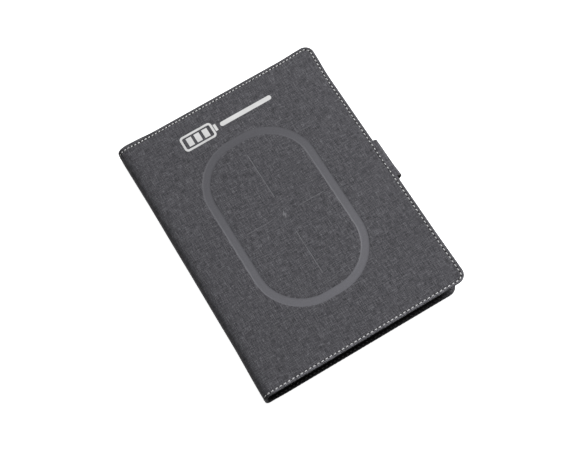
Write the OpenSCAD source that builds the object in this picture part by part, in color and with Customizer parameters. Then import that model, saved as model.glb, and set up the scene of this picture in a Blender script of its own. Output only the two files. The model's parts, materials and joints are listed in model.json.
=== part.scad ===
// Fabric-covered A5 folio with a wireless charging zone and a power bank in its front cover.
// Closed at rest: X runs from the spine to the fore edge, Y from tail to head, Z up.
// All lengths in millimetres. Coordinates inside the modules start at the spine's outer face,
// and place() moves the whole object so that its box is centred over the origin.

/* [Covers] */
// Front cover, spine face to fore edge
cover_w = 174; // [150:1:200]
// Height of both covers, tail to head
cover_h = 232; // [200:1:260]
// Thickness of one padded cover
cover_t = 3.4; // [2.8:0.1:5]
// Thickness of the closed folio
closed_t = 20; // [18:0.5:30]
// Radius of the cover corners at the fore edge
corner_r = 8; // [4:0.5:14]
// How far the back cover stops short of the front cover
back_inset = 7; // [0:0.5:12]
// Outer fabric
skin_t = 0.8; // [0.5:0.1:1.2]
// Foam under the outer fabric
foam_t = 0.8; // [0.5:0.1:1.5]
// Fabric lining on the inner face
lining_t = 0.4; // [0.3:0.1:0.8]
// Thickness of the turned-in fabric round the cover edge
turn_w = 1.0; // [0.8:0.1:2]

/* [Spine] */
// Width of the upper bend on the front cover
upper_bend_w = 13; // [8:0.5:18]
// Height of the upper bend on the spine
upper_bend_h = 9.4; // [6:0.2:12]
// Fullness of the upper bend: 2 is an ellipse, more is squarer
bend_full = 3; // [2:0.1:4]
// Radius of the lower bend
lower_bend_r = 6; // [4:0.5:8]
// Fabric and lining together in both bends
bend_t = 1.2; // [0.8:0.1:2]
// Stiffener strip in the spine
spine_strip_t = 1.0; // [0.6:0.1:1.5]

/* [Charging zone] */
// Centre of the charging zone, from the spine face
ring_x = 84.8; // [70:0.1:100]
// Outer width of the pressed ring
ring_w = 94.2; // [80:0.2:110]
// Outer height of the pressed ring
ring_h = 152.6; // [130:0.2:170]
// Outer corner radius of the pressed ring
ring_r = 41.8; // [20:0.2:47]
// Width of the pressed band
band_w = 6.6; // [3:0.2:10]
// Depth of the pressed band
band_d = 0.35; // [0.1:0.05:0.6]
// Width of the pressed centre lines
line_w = 0.9; // [0.4:0.1:2]
// Depth of the pressed centre lines
line_d = 0.2; // [0.1:0.05:0.4]
// Nearest end of a vertical centre line to the zone's centre
line_y0 = 16.4; // [8:0.2:30]
// Length of a vertical centre line
line_y_len = 41.5; // [20:0.5:60]
// Nearest end of a horizontal centre line to the zone's centre
line_x0 = 12.2; // [6:0.2:30]
// Length of a horizontal centre line
line_x_len = 22.4; // [10:0.2:40]
// Outer radius of the charging coil
coil_r = 24; // [18:0.5:30]
// Inner radius of the charging coil
coil_bore_r = 10; // [6:0.5:14]
// Turns of the charging coil
coil_turns = 11; // [6:1:16]

/* [Closing strap] */
// Width of the strap, along the fore edge
strap_w = 37; // [25:0.5:50]
// Thickness of the strap
strap_t = 1.4; // [1:0.1:2.5]
// Centre-line radius of the bend at the front cover
strap_bend_r = 2.7; // [2:0.1:5]
// Centre-line radius of the bend under the back cover
fold_bend_r = 1.7; // [1.2:0.1:3]
// How far the strap leans in towards the back cover, degrees
strap_lean = 26; // [10:1:40]
// Length of the tongue under the back cover
tongue_len = 48; // [30:1:70]
// Depth of the recess that takes the tongue
recess_d = 1.9; // [1.6:0.1:2.4]
// Radius of the closing magnets
magnet_r = 5; // [3:0.5:8]

/* [Power bank] */
// Near side of the power bank, from the spine face
bank_x = 77; // [70:1:90]
// Width of the power bank
bank_w = 88; // [70:1:92]
// Height of the power bank
bank_h = 152; // [120:1:180]
// Thickness of the power bank
bank_t = 7; // [6.4:0.1:8]
// Wall of its housing
bank_wall = 1.6; // [1.2:0.1:2.4]
// Floor and lid of its housing
bank_plate = 1; // [0.8:0.1:1.5]
// Corner radius of its housing
bank_r = 6; // [3:0.5:10]
// Radius of the power button
button_r = 4; // [3:0.2:6]
// Travel of the power button
button_travel = 0.3; // [0.2:0.05:0.5]

/* [Inside] */
// Near side of the note book, from the spine face
book_x = 15; // [12:0.5:20]
// Width of the note book
book_w = 145; // [130:1:150]
// Height of the note book
book_h = 210; // [190:1:212]
// Thickness of its page block
pages_t = 3.7; // [2:0.1:4]
// Inner radius of the pen loop
loop_r = 4.7; // [3.5:0.1:4.8]
// Length of the pen loop
loop_len = 18; // [12:1:30]

/* [Hidden] */
$fn = 64;
eps = 0.01;
strap_out = 2.8;
box_w = cover_w + strap_out;
half_h = cover_h / 2;
board_t = cover_t - skin_t - foam_t - lining_t;
back_x1 = cover_w - back_inset;
fit = 0.1;

// front cover layers, measured down from the closed thickness
front_in = closed_t - cover_t;
front_lining_z = front_in;
front_board_z = front_lining_z + lining_t;
front_foam_z = front_board_z + board_t;
front_skin_z = front_foam_z + foam_t;

// back cover layers
back_foam_z = skin_t;
back_board_z = back_foam_z + foam_t;
back_lining_z = back_board_z + board_t;

// strap centre line
strap_z = closed_t - 0.1 - strap_t / 2;
strap_cx = cover_w + strap_out - strap_t / 2 - strap_bend_r;
strap_cz = strap_z - strap_bend_r;
tongue_z = 0.25 + strap_t / 2;
fold_cz = tongue_z + fold_bend_r;
leg_top = [strap_cx + strap_bend_r * cos(strap_lean), strap_cz - strap_bend_r * sin(strap_lean)];
leg_low_z = fold_cz - fold_bend_r * sin(strap_lean);
leg_len = (leg_top[1] - leg_low_z) / cos(strap_lean);
fold_cx = leg_top[0] - leg_len * sin(strap_lean) - fold_bend_r * cos(strap_lean);
tongue_x0 = fold_cx - tongue_len;
recess_x0 = tongue_x0 - 0.5;
recess_w = strap_w + 1;
pan_t = 0.4;
tab_len = 12;

// power bank levels: the lid faces the pages
bank_z0 = front_in - bank_t;
bank_in0 = bank_z0 + bank_plate;
bank_in1 = front_in - bank_plate;
bank_cx = bank_x + bank_w / 2;
boss_dx = bank_w / 2 - 5.5;
boss_dy = bank_h / 2 - 5.5;
pcb_t = 0.8;
pcb_z = bank_in0 + 3.3;
pcb_y0 = 56.5;
pcb_y1 = bank_h / 2 - bank_wall - 0.2;
socket_w = 8.94;
socket_h = 3.2;
socket_l = 7.4;
socket_dx = 12;
button_pos = [bank_x + 20, 64];
switch_h = 1.5;
light_r = 0.8;
light_pitch = 4.5;
cell_w = 83;
cell_l = 59;
cell_t = 4.4;
lead_x = 99;
lead_w = 6;
lead_y = 57.2;

// card pockets
pocket_t = 1.3;
pocket_x0 = 15;
pocket_w = 59;

// note book levels
book_low_z = cover_t + 0.1;
book_cover_t = 0.4;
sleeve_z = book_low_z + book_cover_t + 0.1;
pages_z = sleeve_z + 0.5;
book_top_z = pages_z + pages_t + 0.1;

// ---------- shared shapes ----------

module place() {
    translate([-box_w / 2, 0, 0])
        children();
}

// rounded rectangle about the origin
module round_rect(w, h, r) {
    square([w - 2 * r, h], center = true);
    square([w, h - 2 * r], center = true);
    for (sx = [-1, 1], sy = [-1, 1])
        translate([sx * (w / 2 - r), sy * (h / 2 - r)])
            circle(r = r);
}

// cover outline: square at the spine side, round corners at the fore edge
module cover_outline(x0, x1, h, r) {
    translate([x0, -h / 2])
        square([x1 - r - x0, h]);
    translate([x0, -h / 2 + r])
        square([x1 - x0, h - 2 * r]);
    for (s = [-1, 1])
        translate([x1 - r, s * (h / 2 - r)])
            circle(r = r);
}

// right half of a disc
module half_disc(d) {
    intersection() {
        circle(d = d);
        translate([0, -d])
            square([d, 2 * d]);
    }
}

// cover with full-round edges at tail, fore edge and head, outer face at z = 0
module soft_cover(x0, x1, h, t, r) {
    e = t / 2;
    linear_extrude(t)
        cover_outline(x0, x1 - e, h - t, r - e);
    translate([x0, h / 2 - e, e])
        rotate([90, 0, 90])
            linear_extrude(x1 - r - x0)
                half_disc(t);
    translate([x0, -h / 2 + e, e])
        rotate([90, 0, 90])
            linear_extrude(x1 - r - x0)
                mirror([1, 0])
                    half_disc(t);
    translate([x1 - e, h / 2 - r, e])
        rotate([90, 0, 0])
            linear_extrude(h - 2 * r)
                half_disc(t);
    for (s = [0, 1])
        translate([x1 - r, (2 * s - 1) * (h / 2 - r), e])
            rotate([0, 0, -90 + 90 * s])
                rotate_extrude(angle = 90)
                    translate([r - e, 0])
                        half_disc(t);
}

// layer inside a cover, clear of the turned-in edge
module cover_layer(x0, x1, inset, z, t) {
    translate([0, 0, z])
        linear_extrude(t)
            cover_outline(x0 + inset, x1 - inset, cover_h - 2 * inset, corner_r - inset);
}

module bolt_mark(size) {
    polygon([for (p = [[0.14, 0.5], [-0.24, -0.06], [-0.02, -0.06], [-0.14, -0.5], [0.24, 0.08],
        [0.02, 0.08]]) p * size]);
}

module ring_band() {
    difference() {
        round_rect(ring_w, ring_h, ring_r);
        round_rect(ring_w - 2 * band_w, ring_h - 2 * band_w, ring_r - band_w);
    }
}

module centre_lines() {
    for (s = [-1, 1]) {
        translate([-line_w / 2, s > 0 ? line_y0 : -line_y0 - line_y_len])
            square([line_w, line_y_len]);
        translate([s > 0 ? line_x0 : -line_x0 - line_x_len, -line_w / 2])
            square([line_x_len, line_w]);
    }
    bolt_mark(8);
}

// a thin ring sector between two angles, in the X-Z plane, across the strap's width
module strap_arc(cx, cz, r, from, to) {
    steps = 16;
    outer = [for (i = [0:steps]) let(a = from + (to - from) * i / steps)
        [cx + (r + strap_t / 2) * cos(a), cz + (r + strap_t / 2) * sin(a)]];
    inner = [for (i = [steps:-1:0]) let(a = from + (to - from) * i / steps)
        [cx + (r - strap_t / 2) * cos(a), cz + (r - strap_t / 2) * sin(a)]];
    translate([0, strap_w / 2, 0])
        rotate([90, 0, 0])
            linear_extrude(strap_w)
                polygon(concat(outer, inner));
}

// ---------- back cover ----------

module back_fabric() color([0.31, 0.31, 0.33]) place() {
    difference() {
        union() {
            difference() {
                soft_cover(lower_bend_r, back_x1, cover_h, cover_t, corner_r);
                cover_layer(lower_bend_r, back_x1, turn_w, skin_t, cover_t);
            }
            translate([recess_x0 - pan_t, -recess_w / 2 - pan_t, skin_t - eps])
                cube([back_x1 - turn_w / 2 - recess_x0 + pan_t, recess_w + 2 * pan_t,
                    recess_d + pan_t - skin_t + eps]);
        }
        translate([0, 0, -1])
            linear_extrude(recess_d + 1)
                recess_outline();
    }
}

// the tongue's outline with clearance, run out past the fore edge
module recess_outline() {
    tongue_outline(-0.5);
    translate([fold_cx - 10, -recess_w / 2])
        square([20, recess_w]);
}

module recess_window(z, t) {
    translate([recess_x0 - pan_t - fit, -recess_w / 2 - pan_t - fit, z - 1])
        cube([tongue_len + 20, recess_w + 2 * pan_t + 2 * fit, t + 2]);
}

module back_foam() color([0.2, 0.2, 0.2]) place() {
    difference() {
        cover_layer(lower_bend_r, back_x1, turn_w + fit, back_foam_z, foam_t);
        recess_window(back_foam_z, foam_t);
    }
}

module back_board() color([0.55, 0.47, 0.36]) place() {
    difference() {
        cover_layer(lower_bend_r, back_x1, turn_w + fit, back_board_z, board_t);
        recess_window(back_board_z, board_t);
    }
}

module back_lining() color([0.12, 0.12, 0.13]) place() {
    cover_layer(lower_bend_r, back_x1, turn_w + fit, back_lining_z, lining_t);
}

// steel plate over the tongue's recess, for the magnets to hold to
module keeper_plate() color([0.7, 0.7, 0.72]) place() {
    translate([tongue_x0 + 20, 0, recess_d + pan_t])
        linear_extrude(back_lining_z - recess_d - pan_t)
            round_rect(34, 30, 2);
}

// ---------- inside of the back cover ----------

module pen_loop() color([0.1, 0.1, 0.1]) place() {
    loop_t = 0.65;
    cz = cover_t + loop_r + loop_t - 0.3;
    difference() {
        union() {
            translate([8.6, loop_len / 2 + 60, cz])
                rotate([90, 0, 0])
                    cylinder(r = loop_r + loop_t, h = loop_len);
            translate([7.4, 60 - loop_len / 2, cover_t])
                cube([6.6, loop_len, 0.5]);
        }
        translate([8.6, loop_len / 2 + 61, cz])
            rotate([90, 0, 0])
                cylinder(r = loop_r, h = loop_len + 2);
        translate([0, 40, cover_t - 2])
            cube([20, 40, 2]);
    }
}

// band sewn to the lining on three sides; the note book's rear cover slides under it
module notebook_sleeve() color([0.14, 0.14, 0.15]) place() {
    sleeve_x0 = book_x + book_w - 70;
    sleeve_x1 = book_x + book_w + 4;
    sleeve_h = book_h + 8;
    difference() {
        translate([sleeve_x0, -sleeve_h / 2, cover_t])
            cube([sleeve_x1 - sleeve_x0, sleeve_h, sleeve_z + 0.4 - cover_t]);
        translate([sleeve_x0 - 1, -book_h / 2 - 0.2, cover_t - 1])
            cube([book_x + book_w + 1.2 - sleeve_x0, book_h + 0.4, sleeve_z + 1 - cover_t]);
    }
}

module notebook_cover() color([0.16, 0.16, 0.17]) place() {
    translate([book_x, -book_h / 2, book_low_z])
        cube([book_w, book_h, book_cover_t]);
    translate([book_x, -book_h / 2, book_low_z])
        cube([0.5, book_h, book_top_z + book_cover_t - book_low_z]);
    translate([book_x, -book_h / 2, book_top_z])
        cube([book_w, book_h, book_cover_t]);
}

module notebook_pages() color([0.93, 0.92, 0.88]) place() {
    translate([book_x + 0.6, -book_h / 2 + 1, pages_z])
        cube([book_w - 2, book_h - 2, pages_t]);
}

// ---------- spine ----------

module spine_slab(x, t, trim = 0) {
    translate([x, -half_h + trim, lower_bend_r])
        cube([t, cover_h - 2 * trim, closed_t - upper_bend_h - lower_bend_r]);
}

module spine_fabric() color([0.31, 0.31, 0.33]) place() {
    spine_slab(0, skin_t);
}

module spine_strip() color([0.55, 0.47, 0.36]) place() {
    spine_slab(skin_t, spine_strip_t, 2);
}

module spine_lining() color([0.12, 0.12, 0.13]) place() {
    spine_slab(skin_t + spine_strip_t, lining_t);
}

module lower_bend() color([0.29, 0.29, 0.31]) place() {
    translate([lower_bend_r, half_h, lower_bend_r])
        rotate([90, 0, 0])
            linear_extrude(cover_h)
                difference() {
                    circle(r = lower_bend_r);
                    circle(r = lower_bend_r - bend_t);
                    translate([-10, 0])
                        square([20, 20]);
                    translate([0, -10])
                        square([20, 20]);
                }
}

module upper_bend() color([0.29, 0.29, 0.31]) place() {
    steps = 28;
    a = upper_bend_w;
    b = upper_bend_h;
    k = 2 / bend_full;
    outer = [for (i = [0:steps]) let(t = 90 * i / steps) [-a * pow(cos(t), k), b * pow(sin(t), k)]];
    inner = [for (i = [steps:-1:0]) let(t = 90 * i / steps)
        [-(a - bend_t) * pow(cos(t), k), (b - bend_t) * pow(sin(t), k)]];
    translate([a, half_h, closed_t - b])
        rotate([90, 0, 0])
            linear_extrude(cover_h)
                polygon(concat(outer, inner));
}

// ---------- front cover ----------

module front_fabric() color([0.33, 0.33, 0.35]) place() {
    difference() {
        translate([0, 0, closed_t])
            mirror([0, 0, 1])
                difference() {
                    soft_cover(upper_bend_w, cover_w, cover_h, cover_t, corner_r);
                    cover_layer(upper_bend_w, cover_w, turn_w, skin_t, cover_t);
                }
        translate([ring_x, 0, closed_t - band_d])
            linear_extrude(1)
                ring_band();
        translate([ring_x, 0, closed_t - line_d])
            linear_extrude(1)
                centre_lines();
        translate([0, 0, closed_t - 0.2])
            linear_extrude(1)
                emblem_outline();
        translate([cover_w - 1.8, -strap_w / 2 - 0.2, strap_z - strap_t / 2 - 0.25])
            cube([5, strap_w + 0.4, 5]);
    }
}

module front_foam() color([0.2, 0.2, 0.2]) place() {
    difference() {
        cover_layer(upper_bend_w, cover_w, turn_w + fit, front_foam_z, foam_t);
        translate([cover_w - 1.8 - tab_len - fit, -strap_w / 2 - fit, front_foam_z - 1])
            cube([tab_len + 5, strap_w + 2 * fit, foam_t + 2]);
    }
}

module front_board() color([0.55, 0.47, 0.36]) place() {
    difference() {
        cover_layer(upper_bend_w, cover_w, turn_w + fit, front_board_z, board_t);
        translate([ring_x, 0, front_board_z - 1])
            cylinder(r = coil_r + 2.4, h = board_t + 2);
        translate([lead_x - lead_w / 2 - 0.5, 10, front_board_z - 1])
            cube([lead_w + 1, lead_y + 1 - 10, 2.1]);
    }
}

module front_lining() color([0.12, 0.12, 0.13]) place() {
    difference() {
        cover_layer(upper_bend_w, cover_w, turn_w + fit, front_lining_z, lining_t);
        translate([lead_x - lead_w / 2 - 0.5, lead_y - 1, front_lining_z - 1])
            cube([lead_w + 1, 2, 2]);
    }
}

// plain battery pictogram and bar, pressed in silver foil
module emblem_outline() {
    translate([60, 92]) {
        difference() {
            round_rect(28, 14, 3);
            round_rect(24.4, 10.4, 1.4);
        }
        for (i = [-1:1])
            translate([i * 7, 0])
                square([4.6, 7.6], center = true);
        translate([14.6, -3])
            square([2.2, 6]);
    }
    translate([103, 92])
        round_rect(46, 4, 1.9);
}

module cover_emblem() color([0.8, 0.8, 0.82]) place() {
    translate([0, 0, closed_t - 0.2])
        linear_extrude(0.2)
            emblem_outline();
}

module ferrite_sheet() color([0.16, 0.15, 0.15]) place() {
    translate([ring_x, 0, front_board_z + 0.1])
        cylinder(r = coil_r + 2, h = 0.5);
}

module charging_coil() color([0.75, 0.42, 0.2]) place() {
    pitch = (coil_r - coil_bore_r) / coil_turns;
    translate([ring_x, 0, front_board_z + 0.65])
        for (i = [0:coil_turns - 1])
            rotate_extrude()
                translate([coil_bore_r + i * pitch, 0])
                    square([pitch - 0.12, 0.65]);
}

module coil_lead() color([0.85, 0.55, 0.2]) place() {
    lead_z = front_board_z + 0.65;
    difference() {
        union() {
            translate([lead_x - lead_w / 2, lead_y - 0.15, pcb_z + pcb_t])
                cube([lead_w, 0.3, lead_z + 0.3 - pcb_z - pcb_t]);
            translate([lead_x - lead_w / 2, 10, lead_z])
                cube([lead_w, lead_y - 10, 0.3]);
        }
        translate([ring_x, 0, lead_z - 1])
            cylinder(r = coil_r + 0.05, h = 3);
    }
}

// ---------- card pockets on the inside of the front cover ----------

module card_pocket(level, top_y) {
    z1 = front_in - level * pocket_t;
    y0 = -96;
    difference() {
        translate([pocket_x0, y0, z1 - pocket_t])
            cube([pocket_w, top_y - y0, pocket_t]);
        translate([pocket_x0 + 1.6, y0 + 1.6, z1 - pocket_t + 0.5])
            cube([pocket_w - 3.2, top_y - y0, pocket_t - 0.5 + 1]);
    }
}

module card_pocket_rear() color([0.15, 0.15, 0.16]) place() {
    card_pocket(0, 14);
}

module card_pocket_middle() color([0.16, 0.16, 0.17]) place() {
    card_pocket(1, -6);
}

module card_pocket_front() color([0.17, 0.17, 0.18]) place() {
    card_pocket(2, -26);
}

// ---------- power bank ----------

module bank_outline(inset) {
    translate([bank_cx, 0])
        round_rect(bank_w - 2 * inset, bank_h - 2 * inset, bank_r - inset);
}

module at_bosses() {
    for (sx = [-1, 1], sy = [-1, 1])
        translate([bank_cx + sx * boss_dx, sy * boss_dy, 0])
            children();
}

module at_sockets() {
    for (s = [-1, 1])
        translate([bank_cx + s * socket_dx, 0, bank_in0 + 0.1 + socket_h / 2])
            children();
}

module socket_outline(grow) {
    r = socket_h / 2 + grow;
    square([socket_w - socket_h, 2 * r], center = true);
    for (s = [-1, 1])
        translate([s * (socket_w - socket_h) / 2, 0])
            circle(r = r);
}

module bank_tray() color([0.22, 0.22, 0.23]) place() {
    difference() {
        union() {
            difference() {
                translate([0, 0, bank_in0])
                    linear_extrude(front_in - bank_in0)
                        bank_outline(0);
                translate([0, 0, bank_in0 - 1])
                    linear_extrude(bank_in1 - bank_in0 + 1)
                        bank_outline(bank_wall);
            }
            at_bosses()
                translate([0, 0, bank_in0])
                    cylinder(r = 2.6, h = bank_in1 - bank_in0 + eps);
        }
        at_bosses()
            translate([0, 0, bank_in0 - 1])
                cylinder(r = 0.85, h = bank_in1 - bank_in0);
        at_sockets()
            translate([0, bank_h / 2 + 1, 0])
                rotate([90, 0, 0])
                    linear_extrude(bank_wall + 2)
                        socket_outline(0.1);
        translate([lead_x - lead_w / 2 - 0.5, lead_y - 1, bank_in1 - 1])
            cube([lead_w + 1, 2, 4]);
    }
}

module bank_lid() color([0.24, 0.24, 0.25]) place() {
    difference() {
        translate([0, 0, bank_z0])
            linear_extrude(bank_plate)
                bank_outline(0);
        at_bosses() {
            translate([0, 0, bank_z0 - 1])
                cylinder(r = 0.95, h = bank_plate + 2);
            translate([0, 0, bank_z0 - 1])
                cylinder(r = 1.75, h = 1.6);
        }
        translate([button_pos[0], button_pos[1], bank_z0 - 1])
            cylinder(r = button_r + fit, h = bank_plate + 2);
        for (i = [0:3])
            translate([button_pos[0] + 12 + i * light_pitch, button_pos[1], bank_z0 - 1])
                cylinder(r = light_r + 0.05, h = bank_plate + 2, $fn = 32);
    }
}

module bank_screws() color([0.6, 0.6, 0.62]) place() {
    at_bosses()
        difference() {
            union() {
                translate([0, 0, bank_z0 + 0.1])
                    cylinder(r = 1.65, h = 0.5);
                translate([0, 0, bank_z0 + 0.3])
                    cylinder(r = 0.8, h = 3.6);
            }
            for (a = [0, 90])
                rotate([0, 0, a])
                    translate([-0.9, -0.2, bank_z0])
                        cube([1.8, 0.4, 0.4]);
        }
}

module battery_cell(y0) {
    z = bank_in0 + 0.3;
    translate([bank_cx, y0 + cell_l / 2, z])
        linear_extrude(cell_t)
            round_rect(cell_w, cell_l, 2);
    translate([bank_cx - 10, y0 + cell_l, z + 1.9])
        cube([20, 1, 0.6]);
}

module battery_cell_tail() color([0.65, 0.67, 0.7]) place() {
    battery_cell(-66);
}

module battery_cell_head() color([0.65, 0.67, 0.7]) place() {
    battery_cell(-4.5);
}

module control_board() color([0.1, 0.35, 0.2]) place() {
    difference() {
        translate([bank_cx - 36, pcb_y0, pcb_z])
            cube([72, pcb_y1 - pcb_y0, pcb_t]);
        for (s = [-1, 1])
            translate([bank_cx + s * 33, pcb_y0 + 8, pcb_z - 1])
                cylinder(r = 1, h = pcb_t + 2);
    }
}

module board_parts() color([0.1, 0.1, 0.11]) place() {
    z = pcb_z;
    // inductor and capacitors on the lid side
    translate([bank_cx + 24, pcb_y0 + 6, z - 2.6])
        cube([6, 6, 2.6]);
    translate([bank_cx - 5, pcb_y0 + 3, z - 1.1])
        cube([5, 4, 1.1]);
    for (i = [0:2])
        translate([bank_cx + 10 + i * 3.2, pcb_y0 + 2, z - 0.9])
            cube([1.4, 2.4, 0.9]);
    // driver chips on the tray side
    translate([bank_cx - 18, pcb_y0 + 6, z + pcb_t])
        cube([5, 5, 0.75]);
    translate([bank_cx + 6, pcb_y0 + 6, z + pcb_t])
        cube([6, 5, 0.75]);
    for (i = [0:3])
        translate([bank_cx + 17 + i * 2.4, pcb_y0 + 5, z + pcb_t])
            cube([1, 2, 0.5]);
}

module usb_socket(s) {
    translate([bank_cx + s * socket_dx, bank_h / 2 - 0.2, bank_in0 + 0.1 + socket_h / 2]) {
        rotate([90, 0, 0])
            difference() {
                linear_extrude(socket_l)
                    socket_outline(0);
                translate([0, 0, -1])
                    linear_extrude(socket_l - 0.2)
                        socket_outline(-0.3);
            }
        translate([-3.3, -socket_l + 1.1, -0.35])
            cube([6.6, socket_l - 2, 0.7]);
    }
}

module input_socket() color([0.72, 0.72, 0.74]) place() {
    usb_socket(-1);
}

module output_socket() color([0.72, 0.72, 0.74]) place() {
    usb_socket(1);
}

module charge_lights() color([0.85, 0.9, 0.95]) place() {
    for (i = [0:3])
        translate([button_pos[0] + 12 + i * light_pitch, button_pos[1], bank_z0])
            cylinder(r = light_r, h = bank_plate + 0.6, $fn = 32);
}

module button_switch() color([0.15, 0.15, 0.15]) place() {
    translate([button_pos[0] - 2.25, button_pos[1] - 2.25, pcb_z - switch_h])
        cube([4.5, 4.5, switch_h]);
}

module power_button() color([0.5, 0.5, 0.52]) place() {
    translate([button_pos[0], button_pos[1], 0]) {
        difference() {
            translate([0, 0, bank_z0 - 0.45])
                cylinder(r = button_r, h = bank_plate + 0.5 + 0.1);
            translate([0, 0, bank_z0 - 0.45 - 1])
                cylinder(r = button_r - 1.2, h = 1.15);
        }
        translate([0, 0, bank_in0 + 0.1])
            cylinder(r = button_r + 1, h = 0.5);
        translate([0, 0, bank_in0 + 0.1])
            cylinder(r = 1.6, h = pcb_z - switch_h - button_travel - 0.05 - bank_in0 - 0.1);
    }
}

// ---------- closing strap ----------

// end of the strap, sewn into the fore-edge seam under the front cover's fabric
module strap_anchor() color([0.3, 0.3, 0.32]) place() {
    translate([cover_w - 1.8 - tab_len, -strap_w / 2, front_foam_z + 0.1])
        cube([tab_len + 0.3, strap_w, foam_t - 0.1]);
    translate([cover_w - 1.7, -strap_w / 2, strap_z - strap_t / 2])
        cube([strap_cx - cover_w + 1.7, strap_w, strap_t]);
}

module strap_root_bend() color([0.3, 0.3, 0.32]) place() {
    strap_arc(strap_cx, strap_cz, strap_bend_r, 90 - eps, -strap_lean);
}

module strap_leg() color([0.32, 0.32, 0.34]) place() {
    translate([leg_top[0], 0, leg_top[1]])
        rotate([0, strap_lean, 0])
            translate([-strap_t / 2, -strap_w / 2, -leg_len])
                cube([strap_t, strap_w, leg_len]);
}

module strap_fold_bend() color([0.3, 0.3, 0.32]) place() {
    strap_arc(fold_cx, fold_cz, fold_bend_r, -strap_lean, -90);
}

module tongue_outline(inset) {
    r = 9 - inset;
    w = strap_w - 2 * inset;
    x0 = tongue_x0 + inset;
    translate([x0 + r, -w / 2])
        square([fold_cx - inset - x0 - r, w]);
    translate([x0, -w / 2 + r])
        square([fold_cx - inset - x0, w - 2 * r]);
    for (s = [-1, 1])
        translate([x0 + r, s * (w / 2 - r)])
            circle(r = r);
}

module tongue_fabric() color([0.32, 0.32, 0.34]) place() {
    z0 = tongue_z - strap_t / 2;
    difference() {
        translate([0, 0, z0])
            linear_extrude(strap_t)
                tongue_outline(0);
        translate([0, 0, z0 + 0.3])
            linear_extrude(strap_t - 0.6)
                tongue_outline(0.9);
    }
}

module at_magnets() {
    for (s = [-1, 1])
        translate([tongue_x0 + 20, s * 8.5, tongue_z - strap_t / 2 + 0.3])
            children();
}

module tongue_stiffener() color([0.6, 0.55, 0.45]) place() {
    difference() {
        translate([0, 0, tongue_z - strap_t / 2 + 0.3])
            linear_extrude(strap_t - 0.6)
                tongue_outline(1);
        at_magnets()
            translate([0, 0, -1])
                cylinder(r = magnet_r + 0.05, h = 3);
    }
}

module strap_magnets() color([0.75, 0.75, 0.78]) place() {
    at_magnets()
        cylinder(r = magnet_r, h = strap_t - 0.6);
}

back_fabric();
back_foam();
back_board();
back_lining();
keeper_plate();
pen_loop();
notebook_sleeve();
notebook_cover();
notebook_pages();
spine_fabric();
spine_strip();
spine_lining();
lower_bend();
upper_bend();
front_fabric();
front_foam();
front_board();
front_lining();
cover_emblem();
ferrite_sheet();
charging_coil();
coil_lead();
card_pocket_rear();
card_pocket_middle();
card_pocket_front();
bank_tray();
bank_lid();
bank_screws();
battery_cell_tail();
battery_cell_head();
control_board();
board_parts();
input_socket();
output_socket();
charge_lights();
button_switch();
power_button();
strap_anchor();
strap_root_bend();
strap_leg();
strap_fold_bend();
tongue_fabric();
tongue_stiffener();
strap_magnets();
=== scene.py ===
"""Looks for the wireless charging folio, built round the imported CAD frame. Lengths in mm unless named _m."""
import json
import math

import bmesh
import bpy
import numpy as np
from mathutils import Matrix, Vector


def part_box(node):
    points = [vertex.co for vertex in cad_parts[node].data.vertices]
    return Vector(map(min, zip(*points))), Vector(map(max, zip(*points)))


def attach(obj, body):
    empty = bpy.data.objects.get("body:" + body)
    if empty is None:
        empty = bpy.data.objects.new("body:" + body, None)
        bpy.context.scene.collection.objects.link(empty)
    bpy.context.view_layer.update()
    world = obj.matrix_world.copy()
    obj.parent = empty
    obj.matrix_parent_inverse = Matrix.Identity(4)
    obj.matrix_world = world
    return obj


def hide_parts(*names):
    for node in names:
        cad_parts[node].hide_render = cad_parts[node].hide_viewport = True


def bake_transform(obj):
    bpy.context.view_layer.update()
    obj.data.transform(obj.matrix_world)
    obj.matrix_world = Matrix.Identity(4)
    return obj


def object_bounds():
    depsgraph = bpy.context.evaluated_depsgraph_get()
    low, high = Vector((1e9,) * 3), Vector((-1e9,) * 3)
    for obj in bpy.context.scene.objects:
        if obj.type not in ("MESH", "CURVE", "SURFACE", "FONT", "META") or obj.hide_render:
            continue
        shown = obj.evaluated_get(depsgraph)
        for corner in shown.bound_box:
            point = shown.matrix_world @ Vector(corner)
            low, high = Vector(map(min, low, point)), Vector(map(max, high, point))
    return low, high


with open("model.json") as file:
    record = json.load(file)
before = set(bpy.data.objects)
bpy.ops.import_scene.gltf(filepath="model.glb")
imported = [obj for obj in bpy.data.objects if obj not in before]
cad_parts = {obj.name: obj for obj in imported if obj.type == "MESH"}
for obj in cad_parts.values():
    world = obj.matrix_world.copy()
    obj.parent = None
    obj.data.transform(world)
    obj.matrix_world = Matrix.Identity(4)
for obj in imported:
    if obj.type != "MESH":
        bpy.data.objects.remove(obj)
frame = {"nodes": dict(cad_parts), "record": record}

MM = 0.001
cad_low, cad_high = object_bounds()

# ---------------------------------------------------------------- sizes, from the frame
def node_box(node):
    """A CAD node's lowest and highest corner, in mm."""
    return tuple(np.array(v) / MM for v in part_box(node))


front_low, front_high = node_box("front_fabric")
back_low, back_high = node_box("back_fabric")
tongue_low, tongue_high = node_box("tongue_fabric")

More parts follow.
